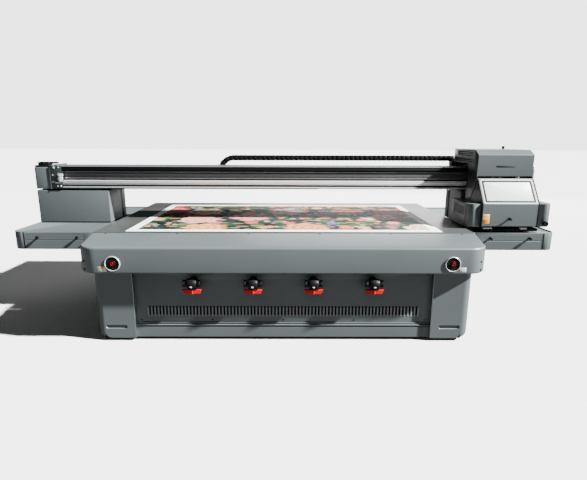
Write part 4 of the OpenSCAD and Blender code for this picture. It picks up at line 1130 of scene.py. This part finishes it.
def marks():
    """Blank stickers on the hatch: an amber one, with a pale strip and an orange block."""
    x, z = SHELL[0] + 0.008, HATCH[4] + 0.026
    for name, look, a, b, low, high, proud in (
            ("back", "sticker_face", 0.0, 0.056, 0.0, 0.078, 0.0004),
            ("head", "hatch_trim", 0.004, 0.052, 0.060, 0.074, 0.0006),
            ("block", "sticker_orange", 0.008, 0.046, 0.012, 0.034, 0.0006)):
        sticker("hatch_sticker_" + name, look, "hatch", (x + a, x + b), HATCH[2],
                (z + low, z + high), proud)


def hood_knob_pair():
    """Roof knob, a larger knurled knob at the right-hand lamp, and the hatch's pull."""
    top = lathe([(0.008, -0.001), (0.008, 0.0075), (0.0115, 0.0085), (0.0125, 0.0105),
                 (0.0125, 0.025), (0.0115, 0.0275), (0.002, 0.028)], 28,
                (HEAD_X + 0.088, 0.020, SHELL[5]))
    x, z = SIDES[1] + 0.057, LAMP[4] + 0.030
    side = lathe([(0.012, -0.001), (0.012, 0.0095), (0.019, 0.0105), (0.021, 0.013),
                  (0.021, 0.030), (0.019, 0.0335), (0.010, 0.034), (0.009, 0.0325),
                  (0.001, 0.0325)], 36, (x, LAMP[2], z), FACE_FRONT)
    rib = block(-0.0011, 0.0011, -0.0214, -0.0200, 0.014, 0.030, 0.0004)
    grips = []
    for a in np.linspace(0, 2 * math.pi, 24, endpoint=False):
        spin = ((math.cos(a), math.sin(a), 0), (-math.sin(a), math.cos(a), 0), (0, 0, 1))
        grips.append(placed(placed(rib, spin), FACE_FRONT, (x, LAMP[2], z)))
    piece("hood_grips", together(top, side, *grips), "black_plastic", "head",
          ("hood_knobs",))
    knob = ends("hatch_knob")
    r = (knob[1] - knob[0]) / 2
    cx, cz = (knob[0] + knob[1]) / 2, (knob[4] + knob[5]) / 2
    pull = pull_knob(cx, HATCH[2], cz, r, HATCH[2] - knob[2])
    piece("hatch_pull", pull, "black_plastic", "hatch", ("hatch_knob",))


def lamps():
    """Curing lamps: housings with eased edges, a rolled upper rim, a dark seam, a lens
    below and a black well behind the vent as painted shade."""
    for side in ("left", "right"):
        softened("uv_lamp_" + side, bevel=0.0016)
    x0, x1, y0, y1, z0, z1 = LAMP
    r = (x1 - x0) / 2
    for side, twin in (("left", about_head), ("right", lambda shape: shape)):
        plan = round_outline(x0, x1, y0, y1, (r - 0.004, r - 0.004, 0.010, 0.010), 14)
        top = bead(inset(plan, 0.0035), z1 - 0.0035, 0.0034)
        seam = ring_bead(inset(plan, -0.0002), 0.0015, 0.0018, z0 + 0.128)
        piece("lamp_roll_" + side, twin(top), "grey_paint", "head")
        piece("lamp_seam_" + side, twin(seam), "dark_paint", "head")
        glass = block(x0 + 0.024, x1 - 0.024, y0 + 0.064, y1 - 0.034, z0 + 0.0015,
                      z0 + 0.0045, 0.0005)
        piece("lamp_lens_" + side, twin(glass), "hatch_glass", "head")
        # Black well behind the lamp's vent: painted shade for the housing's shaded inside
        well = block(x1 - 0.014, x1 - 0.012, y0 + 0.064, y1 - 0.054, z0 + 0.084, z0 + 0.164,
                     0.0005)
        piece("lamp_shade_well_" + side, twin(well), "black_plastic", "head")


def about_head(shape):
    """The twin of a shape across the head's own middle plane."""
    return placed(mirrored(shape), at=(2 * HEAD_X, 0, 0))


def carriage():
    """Carriage, head chassis and print heads, with the nozzle plates and plugs of the eight
    heads, the capping tray's clips, and the web under the chain's arm."""
    softened("carriage_plate", bevel=0.001)
    softened("head_chassis", bevel=0.0008)
    softened("print_heads", bevel=0.0008)
    softened("capping_tray", bevel=0.001)
    heads = ends("print_heads")
    plates = []
    pitch_x, pitch_y = 0.100, 0.155
    for i in range(4):
        for j in range(2):
            x = HEAD_X - 0.190 + pitch_x * i
            y = HATCH[2] + 0.055 + pitch_y * j
            plates.append(block(x + 0.004, x + 0.046, y + 0.006, y + 0.124,
                                heads[4], heads[4] + 0.0012, 0.0004))
            plates.append(block(x + 0.010, x + 0.040, y + 0.030, y + 0.100,
                                heads[5] - 0.001, heads[5] + 0.012, 0.001))
    piece("nozzle_plates", together(*plates), "polished_steel", "head")
    tray = ends("capping_tray")
    clips = [block(tray[0] + a, tray[0] + b, tray[2] - 0.016, tray[2] + 0.010, tray[5] - c,
                   tray[5] + 0.006, 0.001)
             for a, b, c in ((-0.012, 0.062, 0.004), (0.300, 0.352, 0.008))]
    piece("tray_clips", together(*clips), "white_plastic", "capping")
    arm = ends("carriage_plate")
    web = block(arm[0] + 0.002, arm[0] + 0.190, arm[3] - 0.075, arm[3] - 0.005,
                BEAM[5] - 0.030, BEAM[5] + 0.036, 0.002)
    piece("chain_arm_web", web, "black_plastic", "carriage")


def chain_link(z, pitch):
    """One link: two waisted side plates and a cross bar above and below."""
    y0, y1 = CHAIN[2], CHAIN[3]
    h = CHAIN_H / 2
    side = []
    for a, b in ((y0, y0 + 0.008), (y1 - 0.008, y1)):
        side.append(block(-pitch * 0.46, pitch * 0.46, a, b, z - h, z + h, 0.0030))
        side.append(block(-pitch * 0.56, -pitch * 0.4, a + 0.002, b - 0.002, z - h * 0.8,
                          z + h * 0.8, 0.0012))
    bars = [block(-pitch * 0.22, pitch * 0.22, y0 + 0.006, y1 - 0.006, zz - 0.0025,
                  zz + 0.0025, 0.001) for zz in (z - h + 0.003, z + h - 0.003)]
    return together(*side, *bars)


def straight_run(node):
    """Equal links, as near to LINK long as fits, along the whole of a run's box."""
    x0, x1, _, _, z0, z1 = ends(node)
    count = int(round((x1 - x0) / LINK))
    pitch = (x1 - x0) / count
    link = chain_link((z0 + z1) / 2, pitch)
    return together(*[placed(link, at=(x0 + pitch * (k + 0.5), 0, 0)) for k in range(count)])


def chains():
    """Drag chain as separate links. The upper run rides on the carriage, the lower run is
    baked in place on no body, and a half ring of links, on the chain loop's body, joins
    them."""
    x0, x1, y0, y1, z0, z1 = CHAIN
    y, z_up = (y0 + y1) / 2, (z0 + z1) / 2
    upper = piece("chain_links_up", straight_run("drag_chain_upper"), "black_plastic",
                  "carriage", ("drag_chain_upper",))
    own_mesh(upper)
    a, b, _, _, low, high = ends("drag_chain_lower")
    z_low = (low + high) / 2
    piece("chain_links_low", straight_run("drag_chain_lower"), "black_plastic", "gantry",
          ("drag_chain_lower",),
          blend=("gantry", "carriage", (b, y, z_low), (2 * a - b, y, z_low)))
    count = 9
    radius = (z_up - z_low) / 2
    link = chain_link(radius, math.pi * radius / count)
    ring = []
    for k in range(count):
        turn = math.pi * (k + 0.5) / count
        spin = ((math.cos(turn), 0, math.sin(turn)), (0, 1, 0),
                (-math.sin(turn), 0, math.cos(turn)))
        ring.append(placed(link, spin, (x0, 0, (z_up + z_low) / 2)))
    piece("chain_links_bend", together(*ring), "black_plastic", "chain_loop",
          ("drag_chain_loop",))


CHAIN = ends("drag_chain_upper")
CHAIN_H = CHAIN[5] - CHAIN[4]
LINK = 0.045

hood_cover()
hood_side_plates()
hatch()
hood_knob_pair()
lamps()
carriage()
chains()


# ---- Every CAD node that still shows ----

def finish_nodes():
    """Gives each CAD node the look of its slot."""
    for name, node in NODES.items():
        node.data.materials.clear()
        node.data.materials.append(LOOKS[SLOT_OF[name]])


finish_nodes()


# ---- Light and floor ----

def area_light(name, at, toward, size, energy):
    """Rectangular lamp, hidden from the camera, aimed at a point."""
    data = bpy.data.lights.new(name, "AREA")
    data.shape = "RECTANGLE"
    data.size, data.size_y = size
    data.energy = energy
    lamp = bpy.data.objects.new(name, data)
    lamp.location = at
    aim = Vector(toward) - Vector(at)
    lamp.rotation_euler = aim.to_track_quat("-Z", "Y").to_euler()
    lamp.visible_camera = False
    bpy.context.collection.objects.link(lamp)


def key_light(toward, strength, spread):
    """Far lamp, seen from the object in that direction, spread degrees wide."""
    data = bpy.data.lights.new("key", "SUN")
    data.energy = strength
    data.angle = math.radians(spread)
    lamp = bpy.data.objects.new("key", data)
    lamp.rotation_euler = Vector(toward).to_track_quat("Z", "Y").to_euler()
    bpy.context.collection.objects.link(lamp)


def studio():
    """Hard key from high at the right, a weak front fill, a broad fill from behind, and a
    white surround that lights the object less than it shows."""
    key_light((0.775, -0.170, 0.610), 30.0, 2.0)
    area_light("front_fill", (-1.0, -6.5, 2.2), (0, 0, 0.6), (4.0, 2.0), 6)
    area_light("rear_fill", (3.0, 8.0, 2.8), (0.8, 0, 0.9), (9.0, 3.2), 450)
    world = bpy.context.scene.world or bpy.data.worlds.new("world")
    bpy.context.scene.world = world
    world.use_nodes = True
    tree = world.node_tree
    back = tree.nodes["Background"]
    back.inputs["Color"].default_value = (0.97, 0.98, 1.0, 1)
    ray = tree.nodes.new("ShaderNodeLightPath")
    level = tree.nodes.new("ShaderNodeMath")
    level.operation = "MULTIPLY_ADD"
    tree.links.new(ray.outputs["Is Camera Ray"], level.inputs[0])
    level.inputs[1].default_value = 3.4
    level.inputs[2].default_value = 0.045
    tree.links.new(level.outputs[0], back.inputs["Strength"])


def floor_paper():
    """Pale matt paper that throws back less light than it shows to the camera."""
    s = Shader("floor_paper", Roughness=0.9)
    grain = s.ramp(s.noise(30.0), [(0.3, (0.80, 0.80, 0.80)), (0.7, (0.84, 0.84, 0.84))])
    ray = s.add("ShaderNodeLightPath").outputs["Is Camera Ray"]
    s.to("Base Color", s.mix(ray, (0.08, 0.08, 0.08), grain))
    return s.mat


def floor():
    """Plain floor, far larger than the object."""
    data = bpy.data.meshes.new("floor")
    data.from_pydata([(-60, -60, 0), (60, -60, 0), (60, 60, 0), (-60, 60, 0)], [],
                     [(0, 1, 2, 3)])
    obj = bpy.data.objects.new("floor", data)
    bpy.context.collection.objects.link(obj)
    obj.data.materials.append(floor_paper())


studio()
floor()
